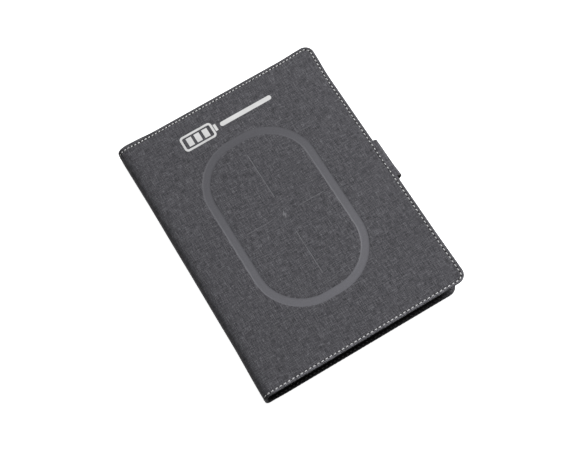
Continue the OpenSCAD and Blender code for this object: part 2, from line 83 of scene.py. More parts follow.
SPINE_X = float(np.array(cad_low)[0] / MM)
FORE_X = float(front_high[0])
BACK_FORE_X = float(back_high[0])
HALF_H = float(front_high[1])
TOP_Z = float(front_high[2])
COVER_T = float(front_high[2] - front_low[2])
UPPER_W = float(front_low[0] - SPINE_X)
UPPER_H = 9.4
BEND_FULL = 3.0  # 2 makes the upper bend an ellipse, more makes it squarer
LOWER_R = float(back_low[0] - SPINE_X)
SPINE_MID_Z = (LOWER_R + TOP_Z - UPPER_H) / 2
CORNER_R = 8.0
HEAD_BOW, SPINE_BOW = 0.1, -0.35
PANEL_EDGE = COVER_T / 2
BEND_EDGE = 1.1
EDGE_STEP, EDGE_ZONE = 0.45, 5  # finer spacing of points, and how far in from an edge it goes
RING_X = SPINE_X + 84.8
STRAP_W = float(tongue_high[1] - tongue_low[1])
STRAP_T = float(tongue_high[2] - tongue_low[2])


# ---------------------------------------------------------------- mesh helpers
def smooth(x, lo, hi):
    """0 below lo, 1 above hi, and a soft step between."""
    t = np.clip((np.asarray(x, float) - lo) / (hi - lo), 0, 1)
    return t * t * (3 - 2 * t)


def dent(x, width):
    """1 at x = 0, fading to nothing within about two widths."""
    return np.exp(-(x / width) ** 2)


def unit(v):
    """Each row of v at length 1."""
    return v / np.linalg.norm(v, axis=1)[:, None]


def run_length(line):
    """Length along a line, at each of its points."""
    return np.r_[0, np.cumsum(np.linalg.norm(np.diff(line, axis=0), axis=1))]


def at_run(line, run, at):
    """Points of a flat line at lengths along it."""
    return np.stack([np.interp(at, run, line[:, k]) for k in (0, 1)], 1)


def quarter_disc(a, b):
    """A corner square of 0 to 1 turned into a quarter disc: where it applies, and the new a and b."""
    big, small = np.maximum(a, b), np.minimum(a, b)
    angle = math.pi / 4 * small / np.where(big == 0, 1, big)
    angle = np.where(a >= b, angle, math.pi / 2 - angle)
    return (a > 0) & (b > 0), big * np.cos(angle), big * np.sin(angle)


def face_out(mesh):
    """Turn every face of a closed mesh outward. An open sheet keeps the order it was built in."""
    shell = bmesh.new()
    shell.from_mesh(mesh)
    if all(edge.is_manifold for edge in shell.edges):
        bmesh.ops.recalc_face_normals(shell, faces=shell.faces)
        shell.to_mesh(mesh)
    shell.free()


def add_mesh(name, points, quads, attributes=None, flat=False):
    """A mesh object from points in mm. attributes: {name: values}, one number or three per point."""
    mesh = bpy.data.meshes.new(name)
    mesh.from_pydata((np.asarray(points, float) * MM).tolist(), [], [list(map(int, q)) for q in quads])
    for key, values in (attributes or {}).items():
        values = np.asarray(values, np.float32)
        kind = "FLOAT_VECTOR" if values.ndim == 2 else "FLOAT"
        layer = mesh.attributes.new(key, kind, "POINT")
        layer.data.foreach_set("vector" if values.ndim == 2 else "value", values.ravel())
    mesh.validate()
    face_out(mesh)
    if not flat:
        mesh.polygons.foreach_set("use_smooth", [True] * len(mesh.polygons))
    mesh.update()
    obj = bpy.data.objects.new(name, mesh)
    bpy.context.scene.collection.objects.link(obj)
    return obj


def grid_quads(nu, nv, flip=False):
    """Faces of a grid of nu by nv points."""
    i, j = np.meshgrid(np.arange(nu - 1), np.arange(nv - 1), indexing="ij")
    a = (i * nv + j).ravel()
    q = np.stack([a, a + nv, a + nv + 1, a + 1], 1)
    return q[:, ::-1] if flip else q


def grid_rim(nu, nv, closed=True):
    """Points of a grid's rim in order. An open rim leaves out the first row's inner points."""
    rim = [i * nv for i in range(nu)] + [(nu - 1) * nv + j for j in range(1, nv)]
    rim += [i * nv + nv - 1 for i in range(nu - 2, -1, -1)]
    return np.array(rim + ([j for j in range(nv - 2, 0, -1)] if closed else []))


def tube_quads(rows, n):
    """Side faces between rings of n points."""
    i, j = np.meshgrid(np.arange(rows - 1), np.arange(n), indexing="ij")
    a, b = (i * n + j).ravel(), (i * n + (j + 1) % n).ravel()
    return np.stack([a, b, b + n, a + n], 1).tolist()


def two_sided(name, shape, face, back, fab):
    """A closed sheet between two grids of points, with a wall round its rim."""
    nu, nv = shape
    rim, grid = grid_rim(nu, nv), grid_quads(nu, nv)
    after = np.roll(rim, -1)
    wall = np.stack([rim, rim + nu * nv, after + nu * nv, after], 1)
    return add_mesh(name, np.concatenate([face.reshape(-1, 3), back.reshape(-1, 3)]),
                    np.concatenate([grid, grid + nu * nv, wall]),
                    {"fab": np.concatenate([fab.reshape(-1, 3)] * 2)})


def value_noise(x, y, seed, scale):
    """Smooth repeatable noise from -1 to 1, from a few fixed sine waves."""
    rng = np.random.default_rng(seed)
    total = np.zeros_like(np.asarray(x, float))
    for _ in range(10):
        a, ph = rng.uniform(0, 2 * math.pi, 2)
        k = 2 * math.pi / scale * rng.uniform(0.5, 1.6)
        total = total + np.sin(k * (np.cos(a) * x + np.sin(a) * y) + ph)
    return total / 5


# ---------------------------------------------------------------- cover surfaces
class CoverSurface:
    """One cover's outer surface: s from mid-spine, round the bend, to the fore edge; y from tail to head."""

    def __init__(self, top, fore_x):
        self.top, self.fore_x = top, fore_x
        t = np.linspace(0, math.pi / 2, 400)
        if top:
            k = 2 / BEND_FULL
            centre = np.array([SPINE_X + UPPER_W, TOP_Z - UPPER_H])
            bend = centre + np.stack([-UPPER_W * np.cos(t) ** k, UPPER_H * np.sin(t) ** k], 1)
        else:
            centre = np.array([SPINE_X + LOWER_R, LOWER_R])
            bend = centre - LOWER_R * np.stack([np.cos(t), np.sin(t)], 1)
        start = np.array([[SPINE_X, SPINE_MID_Z]])
        flat_x = np.linspace(centre[0], fore_x + 5, 500)[1:]
        flat = np.stack([flat_x, np.full_like(flat_x, TOP_Z if top else 0.0)], 1)
        path = np.concatenate([start, bend, flat])
        self.s = run_length(path)
        ahead = np.gradient(path, self.s, axis=0) * (1 if top else -1)
        self.path = path
        self.normals = np.stack([-ahead[:, 1], ahead[:, 0]], 1)
        self.bend_end = self.s[400]
        self.flat_x0 = centre[0]

    def s_at(self, x):
        """s of a point on the flat, from its x."""
        return self.bend_end + (x - self.flat_x0)

    def x_at(self, s):
        """x of a point on the flat, from its s."""
        return self.flat_x0 + (s - self.bend_end)

    def edge(self, s):
        """Half the cover's thickness at its edge: thin at the bend, thick over the board."""
        return BEND_EDGE + (PANEL_EDGE - BEND_EDGE) * smooth(s, self.bend_end - 5, self.bend_end + 0.5)

    def place(self, s, y):
        """(points, normals) in mm, on the cover's path; the bows of the edges are added by edge_shape."""
        px, pz = np.interp(s, self.s, self.path[:, 0]), np.interp(s, self.s, self.path[:, 1])
        nx, nz = np.interp(s, self.s, self.normals[:, 0]), np.interp(s, self.s, self.normals[:, 1])
        length = np.hypot(nx, nz)
        nx, nz = nx / length, nz / length
        y = np.asarray(y, float)
        return np.stack([px, y, pz], -1), np.stack([nx, 0 * nx, nz], -1)

    def inset(self, s, y):
        """Distance in from the cover's outline along head, tail and fore edge, round the corners."""
        dx = self.s_at(self.fore_x) - s
        dy = HALF_H - np.abs(y) + np.where(y < 0, TAIL_SHIFT, HEAD_SHIFT)
        r = CORNER_R
        corner = (dx < r) & (dy < r)
        return np.where(corner, r - np.hypot(r - dx, r - dy), np.minimum(dx, dy))


def edge_shape(points, surface):
    """The real covers are a little hollow along their edges, and their corners stand out.

    Reach and amount of each bow, in mm, are fitted to the outline in the photograph.
    """
    p = np.array(points, float)
    x, y = p[..., 0], p[..., 1]
    near_head, near_tail = smooth(y, 50, HALF_H), smooth(-y, 50, HALF_H)
    near_fore = smooth(x, surface.fore_x - 50, surface.fore_x)
    near_spine = smooth(-x, -SPINE_X - 45, -SPINE_X)
    spine_corner = smooth(-x, -SPINE_X - 18, -SPINE_X - 3)
    fore_corner = smooth(x, surface.fore_x - 30, surface.fore_x - 6)
    head = HEAD_BOW + 0.75 * spine_corner + 0.9 * fore_corner
    rim = 0.95 * dent(x - SPINE_X - 16, 10) * smooth(y, HALF_H - 4, HALF_H)
    tail = 0.0 if surface.top else 0.25 - 0.3 * spine_corner
    fore = 0.4 * smooth(-y, 70, 110) + 1.45 * smooth(y, 80, 112)
    back = SPINE_BOW + 0.8 * smooth(-y, 60, 112) + 0.5 * smooth(y, 60, 112)
    p[..., 1] = y + head * near_head + rim - tail * near_tail
    p[..., 0] = x + fore * near_fore - back * near_spine
    return p


def graded(lo, hi, step, fine, margin, both):
    """Samples from lo to hi, closer together near the end (or both ends)."""
    tail = np.arange(hi - margin, hi + 1e-6, fine)
    head = np.arange(lo, lo + margin, fine) if both else np.array([lo])
    n = max(2, int(round((tail[0] - head[-1]) / step)))
    return np.r_[head[:-1], np.linspace(head[-1], tail[0], n + 1)[:-1], tail[:-1], hi]


# Painted light and shade on the tail rims: the front cover's tail rim is lighter, its spine end and the back
# cover's tail rim are darker, and the back one fades out towards the fore corner.
RIM_PAINTED_LIGHT, RIM_PAINTED_SHADE, RIM_SHADE_FADE = 1.2, -0.7, (70, 165)


def cover_mesh(name, surface, height, masks, step=0.85):
    """The cover's fabric: top grid, round edges on three sides, and a hem turned in under the lining."""
    s_end = surface.s_at(surface.fore_x) - PANEL_EDGE
    s_bend = np.r_[np.linspace(0, surface.s[1], 3)[:-1],
                   np.linspace(surface.s[1], surface.bend_end, 24)[:-1]]
    s_line = np.r_[s_bend, graded(surface.bend_end, s_end, step, EDGE_STEP, EDGE_ZONE, False)]
    b_line = graded(-1, 1, step / HALF_H, EDGE_STEP / HALF_H, EDGE_ZONE / HALF_H, True)
    s, b = np.meshgrid(s_line, b_line, indexing="ij")
    y = b * (HALF_H - surface.edge(s))
    r = CORNER_R - PANEL_EDGE
    cs, cy = s_end - r, HALF_H - PANEL_EDGE - r
    inside, round_s, round_y = quarter_disc((s - cs) / r, (np.abs(y) - cy) / r)
    s = np.where(inside, cs + r * round_s, s)
    y = np.where(inside, np.sign(y) * (cy + r * round_y), y)
    points, normals = surface.place(s, y)
    h = height(s, y)
    points = points + normals * h[..., None]
    nu, nv = s.shape
    all_points = [points.reshape(-1, 3)]
    all_s, all_y = [s.ravel()], [y.ravel()]
    quads = [grid_quads(nu, nv, flip=not surface.top)]
    # from the spine along the tail, up the fore edge and back along the head
    rim = grid_rim(nu, nv, closed=False)
    p = points.reshape(-1, 3)[rim]
    n = normals.reshape(-1, 3)[rim]
    facing = 1 if surface.top else -1
    out = unit(np.cross(unit(np.gradient(p, axis=0)), n) * facing)
    ahead = np.stack([n[:, 2], 0 * n[:, 0], -n[:, 0]], 1) * facing
    flat_out = np.stack([np.einsum("ij,ij->i", out, ahead), out[:, 1]], 1)
    depth = -h.reshape(-1)[rim]
    e_rim = np.maximum(surface.edge(s.ravel()[rim]) - depth / 2, 0.5)
    rows = [(math.sin(f), math.cos(f) - 1) for f in np.linspace(0, math.pi, 13)[1:]]
    rows += [(-1.0, -2.0), (-1.2, -1.6)]
    previous, base, m = rim, nu * nv, len(rim)
    for k, (go, down) in enumerate(rows):
        row = p + out * (e_rim * go)[:, None] + n * (e_rim * down)[:, None]
        all_points.append(row)
        run = min(k + 1, 12) * e_rim * math.pi / 12
        all_s.append(s.ravel()[rim] + flat_out[:, 0] * run)
        all_y.append(y.ravel()[rim] + flat_out[:, 1] * run)
        current = base + np.arange(m)
        q = np.stack([previous[:-1], previous[1:], current[1:], current[:-1]], 1)
        quads.append(q if not surface.top else q[:, ::-1])
        previous, base = current, base + m
    all_points = edge_shape(np.concatenate(all_points), surface)
    s_all, y_all = np.concatenate(all_s), np.concatenate(all_y)
    attributes = {"fab": np.stack([s_all, y_all, 0 * s_all], 1)}
    grid_n = nu * nv
    for key, mask in masks.items():
        values = np.full(len(s_all), FAR)
        values[:grid_n] = mask(s_all[:grid_n], y_all[:grid_n])
        attributes[key] = values
    # painted light and shade along the tail rims, kept in the rim attribute
    tail_rim = smooth(-y_all, HALF_H - 2.8, HALF_H - 1.2)
    if surface.top:
        along = smooth(s_all, 9, 20)
        attributes["rim"] = tail_rim * (RIM_PAINTED_LIGHT * along + RIM_PAINTED_SHADE * (1 - along))
    else:
        attributes["rim"] = RIM_PAINTED_SHADE * tail_rim * (1 - smooth(s_all, RIM_SHADE_FADE[0], RIM_SHADE_FADE[1]))
    return add_mesh(name, all_points, np.concatenate(quads), attributes)


# ---------------------------------------------------------------- marks on the front cover
def round_rect_sd(x, y, w, h, r):
    """Signed distance to a rounded rectangle about the origin, negative inside."""
    qx, qy = np.abs(x) - w / 2 + r, np.abs(y) - h / 2 + r
    return np.hypot(np.maximum(qx, 0), np.maximum(qy, 0)) + np.minimum(np.maximum(qx, qy), 0) - r


RING_W, RING_H, RING_R, BAND_W = 94.2, 152.6, 41.8, 6.6


def band_sd(s, y):
    """Signed distance to the pressed ring, negative in its band."""
    x = front_surface.x_at(s) - RING_X
    mid = round_rect_sd(x, y, RING_W - BAND_W, RING_H - BAND_W, RING_R - BAND_W / 2)
    return np.abs(mid) - BAND_W / 2


def segment_sd(x, y, x0, y0, x1, y1):
    dx, dy = x1 - x0, y1 - y0
    t = np.clip(((x - x0) * dx + (y - y0) * dy) / (dx * dx + dy * dy), 0, 1)
    return np.hypot(x - x0 - t * dx, y - y0 - t * dy)


def line_sd(s, y):
    """Distance to the nearest of the four centre lines."""
    x = front_surface.x_at(s) - RING_X
    near = segment_sd(x, y, 0.4, 16.4, 0.4, 58)
    for ends in ((0.4, -16.4, 0.4, -56), (-12.2, 0.6, -33, 0.6), (13.4, 0.6, 36, 0.6)):
        near = np.minimum(near, segment_sd(x, y, *ends))
    return near


BOLT = np.array([[1.1, 4.0], [-1.9, -0.5], [-0.2, -0.5], [-1.1, -4.0], [1.9, 0.6], [0.2, 0.6]])


def bolt_sd(s, y):
    """Signed distance to the charge symbol, negative inside."""
    x = front_surface.x_at(s) - RING_X
    near = np.full(np.shape(x), 1e9)
    inside = np.zeros(np.shape(x), bool)
    for (x0, y0), (x1, y1) in zip(BOLT, np.roll(BOLT, -1, axis=0)):
        near = np.minimum(near, segment_sd(x, y, x0, y0, x1, y1))
        crosses = ((y0 > y) != (y1 > y)) & (x < (x1 - x0) * (y - y0) / (y1 - y0 + 1e-12) + x0)
        inside ^= crosses
    return np.where(inside, -near, near)


# ---------------------------------------------------------------- stitching
STITCH_INSET = 3.0
TAIL_SHIFT, HEAD_SHIFT = 1.1, -0.2
TAIL_PITCH, FORE_PITCH, HEAD_PITCH = 3.5, 3.75, 3.05
STITCH_SHARE, FORE_SHARE = 0.72, 0.60
HOLE_BAND, FAR = 2.0, 99.0


def seam_path(surface, s_start=0.3):
    """(s, y) along the seam, tail then fore then head, and the running length."""
    s1 = surface.s_at(surface.fore_x)
    r = CORNER_R - STITCH_INSET
    edge_s = s1 - STITCH_INSET
    tail_y, head_y = HALF_H - STITCH_INSET + TAIL_SHIFT, HALF_H - STITCH_INSET + HEAD_SHIFT
    arc = np.linspace(0, math.pi / 2, 24)
    tail = np.stack([np.linspace(s_start, edge_s - r, 200), np.full(200, -tail_y)], 1)
    low = np.stack([edge_s - r + r * np.sin(arc), -(tail_y - r) - r * np.cos(arc)], 1)
    fore = np.stack([np.full(200, edge_s), np.linspace(-(tail_y - r), head_y - r, 200)], 1)
    high = np.stack([edge_s - r + r * np.cos(arc), (head_y - r) + r * np.sin(arc)], 1)
    head = np.stack([np.linspace(edge_s - r, s_start, 200), np.full(200, head_y)], 1)
    path = np.concatenate([tail, low[1:], fore[1:], high[1:], head[1:]])
    return path, run_length(path)


def stitch_places(surface):
    """Centres, directions and lengths of the stitches, and the needle holes between them, in (s, y)."""
    path, run = seam_path(surface)
    edge_y = HALF_H - STITCH_INSET - 0.8
    pitch = np.where(path[:, 1] >= edge_y, HEAD_PITCH, FORE_PITCH)
    pitch = np.where(path[:, 1] <= -edge_y, TAIL_PITCH, pitch)
    phase = np.r_[0, np.cumsum(np.diff(run) / pitch[1:])]
    count = int(phase[-1])
    at = np.interp((np.arange(count) + 0.5) * phase[-1] / count, phase, run)
    ahead = unit(at_run(path, run, at + 0.5) - at_run(path, run, at - 0.5))
    length = np.interp(at, run, np.where(pitch == FORE_PITCH, FORE_SHARE, STITCH_SHARE) * pitch)
    between = np.interp(np.arange(count + 1) * phase[-1] / count, phase, run)
    return (at_run(path, run, at), ahead, length), at_run(path, run, between)


def hole_dips(surface, holes):
    """A function giving the distance to the nearest needle hole, FAR away from the seam."""
    def distance(s, y):
        near = np.full(np.shape(s), FAR)
        band = np.abs(surface.inset(s, y) - STITCH_INSET) < HOLE_BAND
        ps, py = s[band], y[band]
        best = np.full(len(ps), FAR)
        for h in holes:
            best = np.minimum(best, np.hypot(ps - h[0], py - h[1]))
        near[band] = best
        return near
    return distance


def stitching(name, surface, rows, seed, width=0.72, slant=9, depth=0.0, lift=0.0, shaped=True):
    """One thread capsule for each stitch, arched between its two holes and a little slanted."""
    rng = np.random.default_rng(seed)
    sections, sides = 9, 8
    tube = tube_quads(sections, sides)
    t = np.linspace(-1, 1, sections)
    ring = np.linspace(0, 2 * math.pi, sides, endpoint=False)
    thick = np.sqrt(np.clip(1 - np.abs(t) ** 3.2, 0.03, 1))
    rise = 0.16 - 0.42 * np.abs(t) ** 2.6 - 0.12 + lift
    points, quads, thread = [], [], []
    for c, a, length in zip(*rows):
        turn = math.radians(slant + rng.normal(0, 2.0))
        d = np.array([a[0] * math.cos(turn) - a[1] * math.sin(turn),
                      a[0] * math.sin(turn) + a[1] * math.cos(turn)])
        side = np.array([-d[1], d[0]])
        half = length / 2 * rng.uniform(0.93, 1.07)
        along, around = np.meshgrid(np.arange(sections), ring, indexing="ij")
        across = width / 2 * thick[along] * np.cos(around)
        run = half * t[along]
        where = c + d * run[..., None] + side * across[..., None]
        p, n = surface.place(where[..., 0], where[..., 1])
        up = rise[along] + 0.24 * thick[along] * np.sin(around)
        base = sections * sides * len(points)
        facing = -1 if depth else 1
        points.append((p + n * (facing * up - depth)[..., None]).reshape(-1, 3))
        thread.append(np.stack([run, across, around], -1).reshape(-1, 3))
        quads += [[base + k for k in quad] for quad in tube]
        quads.append([base + j for j in range(sides)])
        quads.append([base + (sections - 1) * sides + j for j in range(sides)])
    points = np.concatenate(points)
    if shaped:
        points = edge_shape(points, surface)
    return add_mesh(name, points, quads, {"thread": np.concatenate(thread)})


# ---------------------------------------------------------------- materials
# near-black painted shade for the strap's inner face and edges
STRAP_PAINTED_SHADE = (0.018, 0.018, 0.019)


class Nodes:
    """Short form for building a node material."""

    def __init__(self, name):
        self.material = bpy.data.materials.new(name)
        self.material.use_nodes = True
        self.tree = self.material.node_tree
        self.shader = self.tree.nodes["Principled BSDF"]

    def add(self, kind, **sets):
        node = self.tree.nodes.new(kind)
        for key, value in sets.items():
            if key.startswith("in_"):
                node.inputs[key[3:].replace("_", " ")].default_value = value
            else:
                setattr(node, key, value)
        return node

    def link(self, a, b):
        self.tree.links.new(a, b)

    def math(self, op, a, b=None, clamp=False):
        node = self.add("ShaderNodeMath", operation=op, use_clamp=clamp)
        for k, v in enumerate((a, b)):
            if v is None:
                continue
            if isinstance(v, (int, float)):
                node.inputs[k].default_value = v
            else:
                self.link(v, node.inputs[k])
        return node.outputs[0]

    def times(self, a, b):
        return self.math("MULTIPLY", a, b)

    def plus(self, a, b):
        return self.math("ADD", a, b)

    def rest(self, a):
        """One less a."""
        return self.math("SUBTRACT", 1.0, a)

    def read(self, attribute, kind="Fac"):
        return self.add("ShaderNodeAttribute", attribute_name=attribute).outputs[kind]

    def split(self, vector):
        node = self.add("ShaderNodeSeparateXYZ")
        self.link(vector, node.inputs[0])
        return node.outputs

    def tint(self, colour, factor):
        node = self.add("ShaderNodeVectorMath", operation="SCALE")
        self.link(colour, node.inputs[0])
        self.link(factor, node.inputs["Scale"])
        return node.outputs[0]

    def two_tone(self, value, base, dark, light):
        """The base colour from dark to light times its strength, as value goes from 0.3 to 0.7."""
        return self.ramp(value, [(at, tuple(k * c for c in base)) for at, k in ((0.3, dark), (0.7, light))])

    def scaled(self, vector, scale):
        node = self.add("ShaderNodeVectorMath", operation="MULTIPLY")
        self.link(vector, node.inputs[0])
        node.inputs[1].default_value = scale
        return node.outputs[0]

    def noise(self, vector, scale, detail=2.0, rough=0.5):
        node = self.add("ShaderNodeTexNoise", in_Scale=scale, in_Detail=detail, in_Roughness=rough)
        self.link(vector, node.inputs["Vector"])
        return node.outputs["Fac"]

    def step(self, value, lo, hi):
        node = self.add("ShaderNodeMapRange", interpolation_type="SMOOTHSTEP", clamp=True)
        self.link(value, node.inputs["Value"])
        node.inputs["From Min"].default_value = lo
        node.inputs["From Max"].default_value = hi
        return node.outputs[0]

    def mix(self, fac, a, b):
        node = self.add("ShaderNodeMix", data_type="RGBA")
        self.put(fac, node.inputs[0])
        self.put(a, node.inputs[6])
        self.put(b, node.inputs[7])
        return node.outputs[2]

    def put(self, value, socket):
        if isinstance(value, (int, float)):
            socket.default_value = value
        elif isinstance(value, (tuple, list)):
            socket.default_value = (*value, 1.0) if len(value) == 3 else value
        else:
            self.link(value, socket)

    def ramp(self, value, stops):
        node = self.add("ShaderNodeValToRGB")
        elements = node.color_ramp.elements
        while len(elements) < len(stops):
            elements.new(0.5)
        for element, (at, colour) in zip(elements, stops):
            element.position = at
            element.color = (*colour, 1)
        self.link(value, node.inputs[0])
        return node.outputs[0]

    def bump(self, height, distance_mm, strength):
        node = self.add("ShaderNodeBump", in_Strength=strength, in_Distance=distance_mm * MM)
        self.link(height, node.inputs["Height"])
        return node.outputs[0]

    def finish(self, colour=None, rough=None, normal=None, **fixed):
        if colour is not None:
            self.put(colour, self.shader.inputs["Base Color"])
        if rough is not None:
            self.put(rough, self.shader.inputs["Roughness"])
        if normal is not None:
            self.link(normal, self.shader.inputs["Normal"])
        for key, value in fixed.items():
            self.shader.inputs[key.replace("_", " ")].default_value = value
        return self.material


def grey(v, warm=0.0, cool=0.0):
    return (v * (1 + warm), v, v * (1 - warm) + cool)


def weave_height(m, fab, pitch):
    """Plain weave: over-and-under threads, from sine waves along both thread directions."""
    sx, sy = (m.math("SINE", m.times(along, math.pi / pitch)) for along in m.split(fab)[:2])
    product = m.times(sx, sy)
    return m.math("ABSOLUTE", product), product


MELANGE, MELANGE_PITCH, MELANGE_MEAN, MELANGE_CONTRAST = 0.066, 0.46, 0.569, 3.3
# the pressed band's painted reflection: its colour rises towards the tail by this much per mm
BAND_PAINTED_REFLECTION = 0.0022


def melange_material(name, marks=False, shaded_underside=False):
    """Two-tone woven polyester: each thread changes shade along its length, with light and dark slubs."""
    m = Nodes(name)
    fab = m.read("fab", "Vector")
    height, product = weave_height(m, fab, MELANGE_PITCH)
    warp, weft, fleck = (m.noise(m.scaled(fab, (*k, 1)), 1.0, 2.0, 0.6)
                         for k in ((1.35, 0.15), (0.15, 1.35), (1.15, 1.15)))
    over = m.times(m.step(product, -0.25, 0.25), 0.3)
    threads = m.plus(m.times(warp, m.plus(over, 0.22)), m.times(weft, m.math("SUBTRACT", 0.52, over)))
    yarn = m.plus(m.times(threads, 1.05), m.times(fleck, 0.36))
    yarn = m.plus(m.times(m.math("SUBTRACT", yarn, MELANGE_MEAN), MELANGE_CONTRAST), 0.5)
    shades = ((0.10, 0.40, 0.004), (0.38, 0.80, 0.007), (0.62, 1.14, 0.010), (0.92, 2.1, 0.014))
    tone = m.ramp(yarn, [(at, grey(MELANGE * k, 0.015, cool)) for at, k, cool in shades])
    slub_a = m.step(m.noise(m.scaled(fab, (1.6, 0.06, 1)), 1.0, 1.0), 0.64, 0.74)
    slub_b = m.step(m.noise(m.scaled(fab, (0.06, 1.6, 1)), 1.0, 1.0), 0.67, 0.77)
    tone = m.mix(m.times(m.math("MAXIMUM", slub_a, slub_b), 0.45), tone, grey(MELANGE * 2.3, cool=0.01))
    broad = m.noise(m.scaled(fab, (0.02, 0.02, 1)), 1.0, 2.0)
    # broad random tone, and painted shade that darkens the weave's hollows
    shade, valley = m.plus(m.times(broad, 0.22), 0.89), m.plus(m.times(height, 0.55), 0.62)
    colour = m.tint(tone, m.times(shade, valley))
    rough = 0.82
    weave = m.plus(height, m.times(yarn, 0.5))
    if marks:
        pressed = m.rest(m.step(m.read("band"), -0.35, 0.15))
        lined_mark = m.rest(m.step(m.read("line"), 0.15, 0.5))
        bolted = m.rest(m.step(m.read("bolt"), -0.1, 0.25))
        fine = m.noise(m.scaled(fab, (0.9, 0.9, 1)), 1.0, 2.0)
        band_tone = m.ramp(fine, [(0.3, grey(0.077, 0.01, 0.009)), (0.7, grey(0.091, 0.01, 0.012))])
        # painted reflection: the band is a little lighter towards the tail
        band_tone = m.tint(band_tone, m.rest(m.times(m.split(fab)[1], BAND_PAINTED_REFLECTION)))
        colour = m.mix(m.times(pressed, 0.96), colour, band_tone)
        colour = m.mix(m.times(lined_mark, 0.6), colour, grey(0.17, cool=0.01))
        colour = m.mix(m.times(bolted, 0.7), colour, grey(0.16, cool=0.01))
        rough = m.math("SUBTRACT", rough, m.times(pressed, 0.44))
        weave = m.times(weave, m.rest(m.times(pressed, 0.86)))
    # painted shade: the strap's inner face and edges, flagged in fab's third value, go near-black
    if shaded_underside:
        colour = m.mix(m.step(m.split(fab)[2], 0.2, 0.6), colour, STRAP_PAINTED_SHADE)
    else:
        # painted light and shade on the tail rims, from the rim attribute
        colour = m.tint(colour, m.plus(m.read("rim"), 1.0))
        # painted shade: near-black in the needle holes
        dark = m.rest(m.step(m.read("hole"), 0.45, 0.95))
        colour = m.mix(m.times(dark, 0.9), colour, grey(0.006))
    return m.finish(colour, rough, m.bump(weave, 0.10, 0.9), Sheen_Weight=0.10, Sheen_Roughness=0.5,
                    Specular_IOR_Level=0.2)


def thread_material(name, base=0.62):
    """Twisted polyester thread."""
    m = Nodes(name)
    place = m.split(m.read("thread", "Vector"))
    twist = m.math("SINE", m.plus(m.times(place[0], 9.0), m.times(place[1], 7.0)))
    tone = m.ramp(m.plus(m.times(twist, 0.5), 0.5),
                  [(0.0, grey(base * 0.55)), (0.5, grey(base * 0.9)), (1.0, grey(base * 1.1))])
    return m.finish(tone, 0.55, m.bump(twist, 0.06, 0.8), Sheen_Weight=0.2)


def use(obj, material):
    obj.data.materials.clear()
    obj.data.materials.append(material)


def settle(obj, material, slot, body=None, *nodes, blend=None):
    """Give a piece its finish, hide the CAD nodes it stands for, and hang it from its body; a piece that bends
    only has its transform baked in.
    """
    use(obj, material)
    if nodes:
        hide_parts(*nodes)
    if blend:
        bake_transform(obj)
    else:
        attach(obj, body)


# ---------------------------------------------------------------- camera, light and floor
camera = bpy.data.objects.new("camera", bpy.data.cameras.new("camera"))
bpy.context.scene.collection.objects.link(camera)
camera.location = (-0.12738, -0.35823, 0.94036)
camera.rotation_euler = (0.374098, 0.075284, -0.531862)
camera.data.lens = 80.75
camera.data.sensor_width = 36
camera.data.clip_start = 0.05
bpy.context.scene.camera = camera


def area_light(name, at, size, power):
    """A soft rectangle of light, turned to the part."""
    data = bpy.data.lights.new(name, "AREA")
    data.shape = "RECTANGLE"
    data.size, data.size_y = size
    data.energy = power
    lamp = bpy.data.objects.new(name, data)
    lamp.location = at
    lamp.rotation_mode = "QUATERNION"
    lamp.rotation_quaternion = (-Vector(at)).to_track_quat("-Z", "Y")
    bpy.context.scene.collection.objects.link(lamp)


area_light("key_softbox", (1.35, 0.25, 1.35), (0.95, 0.9), 58)
area_light("top_softbox", (-0.10, 0.15, 1.5), (0.9, 0.9), 4.6)

world = bpy.data.worlds.new("studio")
bpy.context.scene.world = world
world.use_nodes = True
backdrop = world.node_tree.nodes["Background"]
backdrop.inputs[0].default_value = (1, 1, 1, 1)
backdrop.inputs[1].default_value = 0.13
bpy.context.scene.view_settings.view_transform = "Standard"

FLOOR = 40000.0
floor_m = Nodes("pale_floor")
floor_geo = floor_m.add("ShaderNodeTexCoord").outputs["Object"]
floor_tone = floor_m.ramp(floor_m.noise(floor_geo, 3.0), [(0.3, grey(0.66)), (0.7, grey(0.68))])
floor_m.shader.inputs["Emission Color"].default_value = (1, 1, 1, 1)
floor_m.finish(floor_tone, 0.9, Specular_IOR_Level=0.1, Emission_Strength=0.9)
floor = add_mesh("floor", [[-FLOOR, -FLOOR, 0], [FLOOR, -FLOOR, 0], [FLOOR, FLOOR, 0], [-FLOOR, FLOOR, 0]],
                 [[0, 1, 2, 3]])
use(floor, floor_m.material)
floor.visible_diffuse = False

# ---------------------------------------------------------------- outer fabric
front_surface = CoverSurface(True, FORE_X)
back_surface = CoverSurface(False, BACK_FORE_X)


def xz(x, z):
    """A point of the middle plane, in metres."""
    return (float(x) * MM, 0, float(z) * MM)


FRONT_BEND = ("spine", "front_cover", xz(SPINE_X, TOP_Z - UPPER_H), xz(SPINE_X + UPPER_W, TOP_Z))
BACK_BEND = ("back_cover", "spine", xz(SPINE_X + LOWER_R, 0), xz(SPINE_X, LOWER_R))
front_rows, front_holes = stitch_places(front_surface)
back_rows, back_holes = stitch_places(back_surface)
front_hole = hole_dips(front_surface, front_holes)
back_hole = hole_dips(back_surface, back_holes)


HOLE_DEPTH, HOLE_R = 0.28, 0.45
BAND_DEPTH, LINE_DEPTH, BOLT_DEPTH, EMBLEM_DEPTH = 0.30, 0.14, 0.16, 0.10
EMBLEM_Y, EMBLEM_HALF_H, EMBLEM_X0, EMBLEM_X1 = 92, 7.5, 45, 128  # x from the spine


def padding(surface, s, y, seed):
    """Height of the padded cover: pulled in along the seam, softly uneven elsewhere."""
    d = surface.inset(s, y)
    bead = 0.10 * dent(d - 1.0, 0.7)
    groove = -0.26 * dent(d - STITCH_INSET, 0.6)
    uneven = 0.05 * value_noise(s, y, seed, 45) * smooth(d, 3, 12)
    return bead + groove + uneven - 0.03


